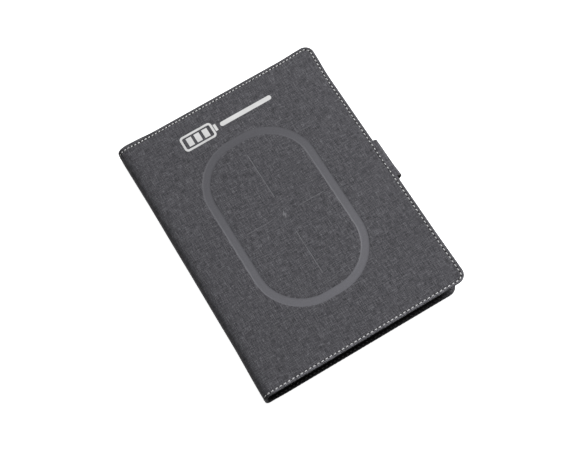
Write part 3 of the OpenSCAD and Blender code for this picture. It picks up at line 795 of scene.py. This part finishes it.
def front_height(s, y):
    """The front cover with its pressed marks and needle holes, and a flat bed for the foil sign."""
    h = padding(front_surface, s, y, 3)
    h = h - BAND_DEPTH * (1 - smooth(band_sd(s, y), -0.55, 0.25))
    h = h - LINE_DEPTH * (1 - smooth(line_sd(s, y), 0.1, 0.8))
    h = h - BOLT_DEPTH * (1 - smooth(bolt_sd(s, y), -0.2, 0.6))
    h = h - HOLE_DEPTH * dent(front_hole(s, y), HOLE_R)
    x = front_surface.x_at(s) - SPINE_X
    emblem = 1 - smooth(np.abs(y - EMBLEM_Y), EMBLEM_HALF_H, EMBLEM_HALF_H + 1.5)
    emblem = emblem * smooth(x, EMBLEM_X0 - 1, EMBLEM_X0 + 1) * (1 - smooth(x, EMBLEM_X1 - 1, EMBLEM_X1 + 1))
    return h * (1 - emblem) - EMBLEM_DEPTH * emblem


front_fabric = cover_mesh("front_cover_fabric", front_surface, front_height,
                          {"band": band_sd, "line": line_sd, "bolt": bolt_sd, "hole": front_hole})
settle(front_fabric, melange_material("melange_front", marks=True), "melange_fabric", None,
       "front_fabric", "upper_bend", "spine_fabric", blend=FRONT_BEND)

RECESS_GAP, RECESS_D, RECESS_R, RECESS_LEN = 0.7, 1.9, 9.5, 120  # the recess runs out past the fore edge
RECESS_X0, RECESS_HALF_W = float(tongue_low[0]) - RECESS_GAP, STRAP_W / 2 + RECESS_GAP
SEAM_FORE_S = 120  # seam points past this lie toward the fore edge


def recess_sd(s, y):
    """Signed distance to the tongue's recess under the back cover, negative inside."""
    x = back_surface.x_at(s)
    return round_rect_sd(x - (RECESS_X0 + RECESS_LEN / 2), y, RECESS_LEN, 2 * RECESS_HALF_W, RECESS_R)


def back_height(s, y):
    h = padding(back_surface, s, y, 5)
    h = h - HOLE_DEPTH * dent(back_hole(s, y), HOLE_R)
    h = np.minimum(h, -0.02)
    inside = 1 - smooth(recess_sd(s, y), -0.5, 0.9)
    return h * (1 - inside) - RECESS_D * inside


back_fabric = cover_mesh("back_cover_fabric", back_surface, back_height, {"hole": back_hole})
settle(back_fabric, melange_material("melange_back"), "melange_fabric", None, "back_fabric", "lower_bend",
       blend=BACK_BEND)

# ---------------------------------------------------------------- seam threads outside
thread = thread_material("seam_thread")
front_seam = stitching("front_seam_stitches", front_surface, front_rows, 11, lift=0.06)
settle(front_seam, thread, "melange_fabric", blend=FRONT_BEND)
back_s, back_y = back_rows[0].T
off_strap = ~((np.abs(back_y) < RECESS_HALF_W + 1.5) & (back_s > SEAM_FORE_S))
back_seam = stitching("back_seam_stitches", back_surface, [row[off_strap] for row in back_rows], 12,
                      lift=-0.26)
settle(back_seam, thread, "melange_fabric", blend=BACK_BEND)

# ---------------------------------------------------------------- closing strap
LEAN = math.radians(26)
BEND_R, FOLD_R, STRAP_END_R, STRAP_BULGE = 2.7, 1.7, 9.0, 0.3
STRAP_OUT, STRAP_NARROW, STRAP_SHIFT, STRAP_FLARE = 3.2, 0.965, -1.2, 0.65
root = np.array([FORE_X + STRAP_OUT - STRAP_T / 2 - BEND_R, TOP_Z - 0.1 - STRAP_T / 2 - BEND_R])
leg_top = root + BEND_R * np.array([math.cos(LEAN), -math.sin(LEAN)])
tongue_z = float(tongue_low[2] + tongue_high[2]) / 2
fold_z = tongue_z + FOLD_R
leg_low_z = fold_z - FOLD_R * math.sin(LEAN)
leg_len = (leg_top[1] - leg_low_z) / math.cos(LEAN)
leg_end = leg_top - leg_len * np.array([math.sin(LEAN), math.cos(LEAN)])
fold = np.array([leg_end[0] - FOLD_R * math.cos(LEAN), fold_z])
BEND_STEPS, LEG_STEPS = 16, 16
LEG_START, LEG_MIDDLE = 22, 30  # points of the strap's line


def arc_points(centre, r, a0, a1, n):
    """n points of an arc from angle a0 to a1, in degrees."""
    a = np.radians(np.linspace(a0, a1, n))
    return centre + r * np.stack([np.cos(a), np.sin(a)], 1)


strap_line = np.concatenate([
    np.stack([np.linspace(FORE_X - STITCH_INSET - 0.4, root[0], 8),
              np.linspace(TOP_Z + 0.12 - STRAP_T / 2, root[1] + BEND_R, 8)], 1)[:-1],
    arc_points(root, BEND_R, 90, -math.degrees(LEAN), BEND_STEPS),
    np.linspace(leg_top, leg_end, LEG_STEPS)[1:-1],
    arc_points(fold, FOLD_R, -math.degrees(LEAN), -90, 12),
    np.stack([np.linspace(fold[0], float(tongue_low[0]), 56), np.full(56, tongue_z)], 1)[1:]])
strap_run = run_length(strap_line)
MID_RUN = float(strap_run[LEG_MIDDLE])
bulge = np.sin(np.clip((strap_run - strap_run[LEG_START - 1]) / leg_len, 0, 1) * math.pi) ** 1.5
strap_line = strap_line + STRAP_BULGE * bulge[:, None] * np.array([math.cos(LEAN), -math.sin(LEAN)])
strap_run = run_length(strap_line)


def strap_piece(name, run0, run1, spacing=0.8):
    """A flat strap with round edges, following the strap's line between two lengths along it."""
    end = strap_run[-1]
    u = np.linspace(run0, run1, int((run1 - run0) / spacing) + 2)
    if run1 >= end - 1e-6:
        start = end - STRAP_END_R
        u = np.r_[u[u < start], start + STRAP_END_R * np.sin(np.linspace(0, math.pi / 2, 22))]
        u[-1] = end - 0.02
    centre = at_run(strap_line, strap_run, u)
    ahead = unit(at_run(strap_line, strap_run, u + 0.2) - at_run(strap_line, strap_run, u - 0.2))
    normal = np.stack([-ahead[:, 1], ahead[:, 0]], 1)
    r = STRAP_END_R
    past = np.clip(u - (end - r), 0, r)
    half = STRAP_W / 2 - r + np.sqrt(np.maximum(r * r - past ** 2, 0))
    t = STRAP_T / 2
    flat = np.linspace(-1, 1, 42)
    arc = np.linspace(math.pi / 2, -math.pi / 2, 9)[1:-1]
    loop = []
    for i in range(len(u)):
        thick = t * (1 if past[i] < r - t else max(0.25, math.sqrt(max(0, 1 - ((past[i] - r + t) / t) ** 2))))
        h = half[i] - thick
        groove = -0.16 * dent(half[i] - np.abs(flat) * h - 2.2, 0.6)
        ring = [(y * h, thick + g, y * h) for y, g in zip(flat, groove)]
        edge = [(h + thick * math.cos(a), thick * math.sin(a), h + thick * (math.pi / 2 - a)) for a in arc]
        ring += edge
        ring += [(y * h, -thick - g, STRAP_W + 2 - y * h) for y, g in zip(flat[::-1], groove[::-1])]
        ring += [(-y, -z, -across) for y, z, across in edge]
        loop.append(ring)
    loop = np.array(loop)
    n = loop.shape[1]
    # fullest at the root, gone at the fold
    skew = (1 - smooth(u, strap_run[LEG_START], strap_run[LEG_START] + leg_len))[:, None]
    turned = smooth(u, strap_run[LEG_START - BEND_STEPS + 1], strap_run[LEG_START - 1])[:, None]
    flare = STRAP_FLARE * turned * skew * smooth(-loop[:, :, 0], 5, 19)
    points = np.stack([centre[:, None, 0] + normal[:, None, 0] * loop[:, :, 1] + flare,
                       loop[:, :, 0] * (1 + (STRAP_NARROW - 1) * skew) + STRAP_SHIFT * skew,
                       centre[:, None, 1] + normal[:, None, 1] * loop[:, :, 1]], -1)
    # 1 on the strap's inner face and edges, which take the painted shade
    lining = np.zeros(n)
    lining[len(flat) + 1:n - 1] = 1
    fab = np.stack([np.repeat(u[:, None], n, 1) + 300, loop[:, :, 2],
                    np.repeat(lining[None, :], len(u), 0)], -1)
    quads = tube_quads(len(u), n) + [list(range(n)), [(len(u) - 1) * n + j for j in range(n)]]
    return add_mesh(name, points.reshape(-1, 3), quads, {"fab": fab.reshape(-1, 3)})


strap_weave = melange_material("melange_strap", shaded_underside=True)
strap_upper = strap_piece("strap_upper", 0, MID_RUN)
settle(strap_upper, strap_weave, "melange_fabric", None, "strap_anchor", "strap_root_bend", "strap_leg",
       blend=("front_cover", "strap", xz(root[0], root[1] + BEND_R), xz(*leg_top)))
strap_lower = strap_piece("strap_lower", MID_RUN, strap_run[-1])
settle(strap_lower, strap_weave, "melange_fabric", None, "strap_fold_bend", "tongue_fabric",
       blend=("strap", "tongue", xz(*leg_end), xz(fold[0], tongue_z)))

# ---------------------------------------------------------------- inside: linings, pockets, loop, book
class FlatSurface:
    """A sheet's face, for stitching: s is x and y is y."""

    def __init__(self, height, up):
        self.height, self.up = height, up

    def place(self, s, y):
        return np.stack([s, y, self.height(s, y)], -1), np.stack([0 * s, 0 * s, self.up + 0 * s], -1)


def rounded_map(u, v, half_w, half_h, r):
    """A square of -1 to 1 mapped to a rounded rectangle."""
    x, y = u * half_w, v * half_h
    edge_x, edge_y = half_w - r, half_h - r
    inside, a, b = quarter_disc((np.abs(x) - edge_x) / r, (np.abs(y) - edge_y) / r)
    return (np.where(inside, np.sign(x) * (edge_x + r * a), x),
            np.where(inside, np.sign(y) * (edge_y + r * b), y))


def panel(name, low, high, r, outer, inner, step=1.6, square_hinge=False):
    """A closed sheet over a rounded rectangle, between two height functions of (x, y, distance to the rim).

    square_hinge keeps the two corners at the low-x side square, as a layer that runs into the hinge is.
    """
    low, high = np.array(low, float), np.array(high, float)
    half, mid = (high - low) / 2, (high + low) / 2
    nu, nv = (int(2 * h / step) + 2 for h in half)
    # one more row of points close to each edge
    lines = [np.sort(np.r_[np.linspace(-1, 1, n), -1 + 0.4 / h, 1 - 0.4 / h]) for n, h in zip((nu, nv), half)]
    u, v = np.meshgrid(*lines, indexing="ij")
    x, y = rounded_map(u, v, half[0], half[1], r)
    rim = -round_rect_sd(x, y, 2 * half[0], 2 * half[1], r)
    if square_hinge:
        square = 1 - smooth(u, -0.9, -0.6)
        x, y = x + (u * half[0] - x) * square, y + (v * half[1] - y) * square
    x, y = x + mid[0], y + mid[1]
    face, back = (np.stack([x, y, side(x, y, rim)], -1) for side in (outer, inner))
    return two_sided(name, x.shape, face, back, np.stack([x, y, 0 * x], -1))


def fabric_lining(name, base, pitch=0.5, depth=0.09):
    """Plain lining cloth from its own cloth coordinates."""
    m = Nodes(name)
    fab = m.read("fab", "Vector")
    height, _ = weave_height(m, fab, pitch)
    yarn = m.noise(m.scaled(fab, (1.1, 0.2, 1)), 1.0, 2.0)
    wear = m.noise(m.scaled(fab, (0.03, 0.03, 1)), 1.0, 3.0)
    tone = m.two_tone(m.plus(m.times(yarn, 0.7), m.times(wear, 0.3)), base, 0.62, 1.45)
    return m.finish(tone, 0.85, m.bump(height, depth, 0.8), Sheen_Weight=0.1, Specular_IOR_Level=0.3)


lining_cloth = fabric_lining("lining_cloth", (0.036, 0.036, 0.039))
pocket_cloth = fabric_lining("pocket_cloth", (0.062, 0.062, 0.067), 0.62, 0.12)
LAYER_INSET, LINING_T = 1.1, 0.4


def hinge_lining(name, surface, bend, *nodes):
    """Lining round the inside of a bend, from mid-spine to the board, as a thin closed strip."""
    s_line = np.linspace(0.0, surface.bend_end + 1.6, 30)
    y_line = np.linspace(-HALF_H + 1.0, HALF_H - 1.0, 150)
    s, y = np.meshgrid(s_line, y_line, indexing="ij")
    p, n = surface.place(s, y)
    deep = 1.9 + (COVER_T - 2.35) * smooth(s, surface.bend_end - 9, surface.bend_end + 1.5)
    crease = 0.10 * np.sin(s * 2.2) * smooth(s, 1, 4)
    crease = crease * (1 - smooth(s, surface.bend_end - 4, surface.bend_end))
    crease = crease * (0.6 + 0.4 * value_noise(s, y, 21, 30))
    face = edge_shape(p - n * (deep + LINING_T - crease)[..., None], surface)
    back = edge_shape(p - n * deep[..., None], surface)
    obj = two_sided(name, s.shape, back, face, np.stack([s, y, 0 * s], -1))
    settle(obj, lining_cloth, "inner_lining", None, *nodes, blend=bend)


hinge_lining("hinge_lining_upper", front_surface, FRONT_BEND, "spine_lining")
hinge_lining("hinge_lining_lower", back_surface, BACK_BEND)

FRONT_IN, BACK_IN = TOP_Z - COVER_T, COVER_T


def lining_face(z, up, seed):
    """Height of a panel lining's face: level, with a slack ripple, and let in along the seam."""
    def height(x, y, rim):
        ripple = 0.05 * value_noise(x, y, seed, 26) * smooth(rim, 1, 10)
        seam = -0.12 * dent(rim - STITCH_INSET + LAYER_INSET, 0.7)
        edge = -0.30 * (1 - smooth(rim, 0, 0.8))
        return z + up * (ripple + seam + edge)
    return height


def level(z):
    return lambda x, y, rim: z + 0 * x


for label, up, z, seed in (("front", -1, FRONT_IN, 31), ("back", 1, BACK_IN, 32)):
    low, high = node_box(label + "_lining")
    piece = panel(label + "_lining_cloth", (low[0], low[1]), (high[0], high[1]), CORNER_R - LAYER_INSET,
                  lining_face(z, up, seed), level(z - up * LINING_T), square_hinge=True)
    settle(piece, lining_cloth, "inner_lining", label + "_cover", label + "_lining")

# seam threads on the lining side
bobbin_thread = thread_material("bobbin_thread", 0.12)
for label, surface, rows, seed, bend in (("front", front_surface, front_rows, 41, FRONT_BEND),
                                         ("back", back_surface, back_rows, 42, BACK_BEND)):
    keep = rows[0][:, 0] > surface.bend_end + 3
    inside = stitching(label + "_lining_stitches", surface, [row[keep] for row in rows], seed,
                       slant=-9, depth=COVER_T - 0.06)
    settle(inside, bobbin_thread, "inner_lining", blend=bend)

# card pockets: each sheet sewn down on three sides and open towards the head
POCKET_FACE, POCKET_SEAM, POCKET_HEM, POCKET_PITCH = 0.5, 2.2, 5.4, 3.2


def make_pocket(node, seed):
    low, high = node_box(node)
    z_back, z_face = high[2], low[2]
    full = z_back - z_face

    def closed_side(x, y):
        side = np.minimum(x - low[0], high[0] - x)
        return np.minimum(side, y - low[1])

    def outer(x, y, rim):
        d = closed_side(x, y)
        puff = 0.35 + 0.65 * smooth(d, 0.2, 4.5)
        soft = 0.05 * value_noise(x, y, seed, 22) * smooth(d, 3, 9)
        groove = 0.10 * dent(d - POCKET_SEAM, 0.5)
        from_top = high[1] - y
        hem = 0.12 * (1 - smooth(from_top, 6.2, 6.9)) - 0.12 * dent(from_top - POCKET_HEM, 0.5)
        return z_back - full * puff * 0.93 + groove - soft * 0.5 - hem

    def inner(x, y, rim):
        gap = POCKET_FACE + (full - POCKET_FACE) * (1 - smooth(closed_side(x, y), 0.5, 3.5))
        return np.minimum(z_back - 0.02, outer(x, y, rim) + gap)

    piece = panel(node + "_cloth", (low[0], low[1]), (high[0], high[1]), 2.0, outer, inner, step=1.1)
    settle(piece, pocket_cloth, "pocket_fabric", "front_cover", node)
    face = FlatSurface(lambda s, y: outer(s, y, 0), -1)
    x0, x1 = low[0] + POCKET_SEAM, high[0] - POCKET_SEAM
    y0, y1, hem_y = low[1] + POCKET_SEAM, high[1] - 1, high[1] - POCKET_HEM
    rows = []
    for a, b in (((x0, y1), (x0, y0)), ((x0, y0), (x1, y0)), ((x1, y0), (x1, y1)),
                 ((low[0] + 3.5, hem_y), (high[0] - 3.5, hem_y))):
        a, way = np.array(a), np.subtract(b, a)
        length = math.hypot(*way)
        count = int(length / POCKET_PITCH)
        rows += [(a + k * way, way / length, 2.2) for k in (np.arange(count) + 0.5) / count]
    rows = [np.array(column) for column in zip(*rows)]
    seam = stitching(node + "_stitches", face, rows, seed, width=0.55, shaped=False)
    settle(seam, dark_thread, "pocket_fabric", "front_cover")


dark_thread = thread_material("dark_thread", 0.10)
for node, seed in (("card_pocket_rear", 51), ("card_pocket_middle", 52), ("card_pocket_front", 53)):
    make_pocket(node, seed)

# note book sleeve: a sheet over the book's rear cover, sewn on three sides
low, high = node_box("notebook_sleeve")
sleeve_top, sleeve_back = high[2], low[2]


def sleeve_outer(x, y, rim):
    d = np.minimum(np.minimum(high[0] - x, high[1] - y), y - low[1])
    drop = (sleeve_top - sleeve_back - 0.45) * (1 - smooth(d, 0.3, 2.6))
    return sleeve_top - drop - 0.04 - 0.03 * (1 + value_noise(x, y, 61, 24)) * smooth(d, 3, 9)


piece = panel("notebook_sleeve_cloth", (low[0], low[1]), (high[0], high[1]), 2.0, sleeve_outer,
              lambda x, y, rim: sleeve_outer(x, y, rim) - 0.38, step=1.4)
settle(piece, pocket_cloth, "pocket_fabric", "back_cover", "notebook_sleeve")

# pen loop: a ribbed elastic band round a pen, with its ends sewn under the lining
low, high = node_box("pen_loop")
loop_mid = (low + high) / 2
LOOP_R, LOOP_T, LOOP_RIBS = float(high[2] - low[2]) / 2 - 0.33, 0.6, 9
turn = np.linspace(0, 2 * math.pi, 73)[:-1]
run = np.linspace(low[1], high[1], 64)
angle, along = np.meshgrid(turn, run, indexing="ij")
ridge = 0.10 * np.abs(np.sin((along - low[1]) / (high[1] - low[1]) * math.pi * LOOP_RIBS))
edge = smooth(np.minimum(along - low[1], high[1] - along), -0.1, 0.5)
shells = []
for side in (1, -1):
    radius = LOOP_R + side * (LOOP_T / 2 * (0.45 + 0.55 * edge) - 0.10 + ridge)
    shells.append(np.stack([loop_mid[0] + radius * np.cos(angle), along,
                            loop_mid[2] + radius * np.sin(angle)], -1))
nu, nv = angle.shape
points = np.concatenate([shell.reshape(-1, 3) for shell in shells])
i, j = np.meshgrid(np.arange(nu), np.arange(nv - 1), indexing="ij")
a0, a1 = (i * nv + j).ravel(), (((i + 1) % nu) * nv + j).ravel()
wall = np.stack([a0, a0 + 1, a1 + 1, a1], 1)
ends = [np.stack([k, (k + nv) % (nu * nv), (k + nv) % (nu * nv) + nu * nv, k + nu * nv], 1)
        for k in (np.arange(nu) * nv, np.arange(nu) * nv + nv - 1)]
quads = np.concatenate([wall, wall + nu * nv, *ends])
fab = np.concatenate([np.stack([along, angle * LOOP_R, 0 * along], -1).reshape(-1, 3)] * 2)
pen_loop = add_mesh("pen_loop_elastic", points, quads, {"fab": fab})
settle(pen_loop, fabric_lining("elastic_cloth", (0.014, 0.014, 0.015), 0.5, 0.10), "elastic", "back_cover",
       "pen_loop")

# page block: loose-edged sheets, each cut a hair differently
low, high = node_box("notebook_pages")
SHEETS, PAGE_R = 34, 4.0
rng = np.random.default_rng(71)
pitch = (high[2] - low[2]) / SHEETS
arc = np.linspace(0, math.pi / 2, 7)
points, faces = [], []
for k in range(SHEETS):
    x0, x1 = low[0] + 0.02, high[0] - 0.25 + rng.uniform(-0.22, 0.22)
    y1 = high[1] - 0.20 + rng.uniform(-0.18, 0.18)
    y0 = low[1] + 0.20 + rng.uniform(-0.18, 0.18)
    outline = [(x0, y0)]
    outline += [(x1 - PAGE_R + PAGE_R * math.sin(a), y0 + PAGE_R - PAGE_R * math.cos(a)) for a in arc]
    outline += [(x1 - PAGE_R + PAGE_R * math.cos(a), y1 - PAGE_R + PAGE_R * math.sin(a)) for a in arc]
    outline += [(x0, y1)]
    z0 = low[2] + k * pitch
    n, base = len(outline), len(points)
    points += [(x, y, z0) for x, y in outline] + [(x, y, z0 + pitch * 0.94) for x, y in outline]
    faces.append([base + q for q in range(n)][::-1])
    faces.append([base + n + q for q in range(n)])
    faces += [[base + q, base + (q + 1) % n, base + n + (q + 1) % n, base + n + q] for q in range(n)]
pages = add_mesh("page_sheets", points, faces, flat=True)

# note book cover: one skin over two boards and a narrow rounded spine
BOOK_CORNER, BOOK_BEND, BOOK_SPINE_T, BOOK_GROOVE_AT, BOOK_GAP = 5.0, 1.6, 0.5, 7.0, 0.1


def book_skin(name):
    """The cover swept along its own line: rear board, round the spine, front board."""
    low, high = node_box("notebook_cover")
    _, page_high = node_box("notebook_pages")
    board = float(high[2] - page_high[2]) - BOOK_GAP
    r = BOOK_BEND - BOOK_SPINE_T / 2
    x_in, fore = low[0] + BOOK_BEND, high[0] - 0.05
    z_low, z_high = low[2] + BOOK_SPINE_T / 2, high[2] - BOOK_SPINE_T / 2
    flat = fore - x_in
    out = fore - np.r_[0, np.geomspace(0.3, 1.3, 6), np.arange(2.0, flat - 12, 2.2),
                       np.linspace(flat - 12, flat, 40)]
    line = np.concatenate([np.stack([out, np.full_like(out, z_low)], 1)[:-1],
                           arc_points(np.array([x_in, z_low + r]), r, 270, 180, 8),
                           arc_points(np.array([x_in, z_high - r]), r, 180, 90, 8),
                           np.stack([out, np.full_like(out, z_high)], 1)[-2::-1]])
    run = run_length(line)
    ahead = unit(np.gradient(line, run, axis=0))
    inward = np.stack([ahead[:, 1], -ahead[:, 0]], 1)
    end = np.minimum(run, run[-1] - run)
    past = np.clip(BOOK_CORNER - end, 0, BOOK_CORNER)
    half = (high[1] - low[1]) / 2 - 0.05 - BOOK_CORNER + np.sqrt(np.maximum(BOOK_CORNER ** 2 - past ** 2, 0))
    from_spine = line[:, 0] - x_in
    thick = BOOK_SPINE_T + (board - BOOK_SPINE_T) * smooth(from_spine, 2.0, 5.5)
    groove = 0.16 * dent(from_spine - BOOK_GROOVE_AT, 0.8)
    lip = 0.10 * (1 - smooth(end, 0, 0.8))
    side = 60
    across = np.linspace(-1, 1, side)
    rows = []
    for k in range(len(line)):
        y = across * half[k]
        soft = 0.10 * (1 - smooth(half[k] - np.abs(y), 0, 0.8)) + lip[k]
        uneven = 0.015 * (1 + value_noise(np.full_like(y, run[k]), y, 83, 30))
        outer = -BOOK_SPINE_T / 2 + soft + groove[k] + uneven
        inner = np.full_like(y, thick[k] - BOOK_SPINE_T / 2) - soft
        rows.append(np.stack([np.r_[y, y[::-1]], np.r_[outer, inner[::-1]]], 1))
    loop = np.array(rows)
    n = loop.shape[1]
    points = np.stack([line[:, None, 0] + inward[:, None, 0] * loop[:, :, 1],
                       loop[:, :, 0] + (low[1] + high[1]) / 2,
                       line[:, None, 1] + inward[:, None, 1] * loop[:, :, 1]], -1)
    quads = tube_quads(len(line), n)
    for base in (0, (len(line) - 1) * n):
        quads += [[base + j, base + j + 1, base + n - 2 - j, base + n - 1 - j] for j in range(side - 1)]
    fab = np.stack([np.repeat(run[:, None], n, 1), loop[:, :, 0], 0 * loop[:, :, 0]], -1)
    return add_mesh(name, points.reshape(-1, 3), quads, {"fab": fab.reshape(-1, 3)})


def leatherette(name, base):
    """Pebbled book cloth: small uneven cells, lighter on their crowns."""
    m = Nodes(name)
    fab = m.read("fab", "Vector")
    cells = m.add("ShaderNodeTexVoronoi", feature="SMOOTH_F1", in_Scale=1.15, in_Randomness=0.9)
    m.link(fab, cells.inputs["Vector"])
    crown = m.math("SUBTRACT", 1.0, cells.outputs["Distance"], clamp=True)
    rub = m.noise(m.scaled(fab, (0.05, 0.05, 1)), 1.0, 3.0)
    shade = m.plus(m.times(crown, 0.6), m.times(rub, 0.4))
    tone = m.ramp(shade, [(at, tuple(k * c for c in base)) for at, k in ((0.25, 0.72), (0.75, 1.18))])
    rough = m.math("SUBTRACT", 0.62, m.times(crown, 0.12))
    return m.finish(tone, rough, m.bump(crown, 0.12, 0.8), Specular_IOR_Level=0.35)


settle(book_skin("notebook_cover_skin"), leatherette("book_cloth", (0.076, 0.076, 0.079)), "notebook_cover",
       "back_cover", "notebook_cover")

# ---------------------------------------------------------------- CAD pieces that stay, with their materials
def moulded(name, base, rough=0.45, grain=0.35, depth=0.03, **fixed):
    """Moulded plastic or metal with a fine grain."""
    m = Nodes(name)
    at = m.scaled(m.add("ShaderNodeTexCoord").outputs["Object"], (1000, 1000, 1000))
    speck = m.noise(at, 1 / grain, 2.0)
    wear = m.noise(at, 0.05, 3.0)
    tone = m.two_tone(wear, base, 0.88, 1.12)
    rough_map = m.plus(m.times(wear, 0.16), rough - 0.08)
    return m.finish(tone, rough_map, m.bump(speck, depth, 0.7), **fixed)


cad_materials = {
    "foam": moulded("foam_cells", grey(0.03), 0.9, 0.3, 0.1),
    "board": moulded("black_board", (0.030, 0.029, 0.028), 0.85, 0.5, 0.03),
    "plate_steel": moulded("keeper_steel", grey(0.5), 0.3, 0.2, 0.005, Metallic=1.0),
    "paper": moulded("book_paper", (0.85, 0.83, 0.76), 0.8, 0.3, 0.01),
    "silver_foil": moulded("silver_foil", grey(0.52), 0.5, 0.46, 0.02, Metallic=0.25),
    "ferrite": moulded("ferrite_black", grey(0.03), 0.6),
    "copper": moulded("copper_wire", (0.7, 0.33, 0.14), 0.3, 0.3, 0.01, Metallic=1.0),
    "flex_lead": moulded("flex_film", (0.55, 0.28, 0.05), 0.3),
    "bank_plastic": moulded("bank_shell", grey(0.055), 0.45, 0.3, 0.04),
    "screw_steel": moulded("screw_steel", grey(0.4), 0.35, 0.3, 0.01, Metallic=1.0),
    "cell_foil": moulded("cell_pouch", grey(0.5), 0.35, 0.5, 0.02, Metallic=0.9),
    "circuit_board": moulded("solder_mask", (0.01, 0.09, 0.04), 0.35),
    "chip_plastic": moulded("chip_black", grey(0.012), 0.5),
    "socket_steel": moulded("socket_steel", grey(0.5), 0.3, 0.3, 0.01, Metallic=1.0),
    "light_lens": moulded("light_lens", (0.75, 0.8, 0.85), 0.15),
    "button_plastic": moulded("button_cap", grey(0.22), 0.4, 0.3, 0.02),
    "magnet_nickel": moulded("magnet_nickel", grey(0.6), 0.25, 0.3, 0.01, Metallic=1.0),
}
settle(pages, cad_materials["paper"], "paper", "back_cover", "notebook_pages")
for part in frame["record"]["subparts"]:
    if part["material_slot"] in cad_materials:
        use(frame["nodes"][part["node"]], cad_materials[part["material_slot"]])
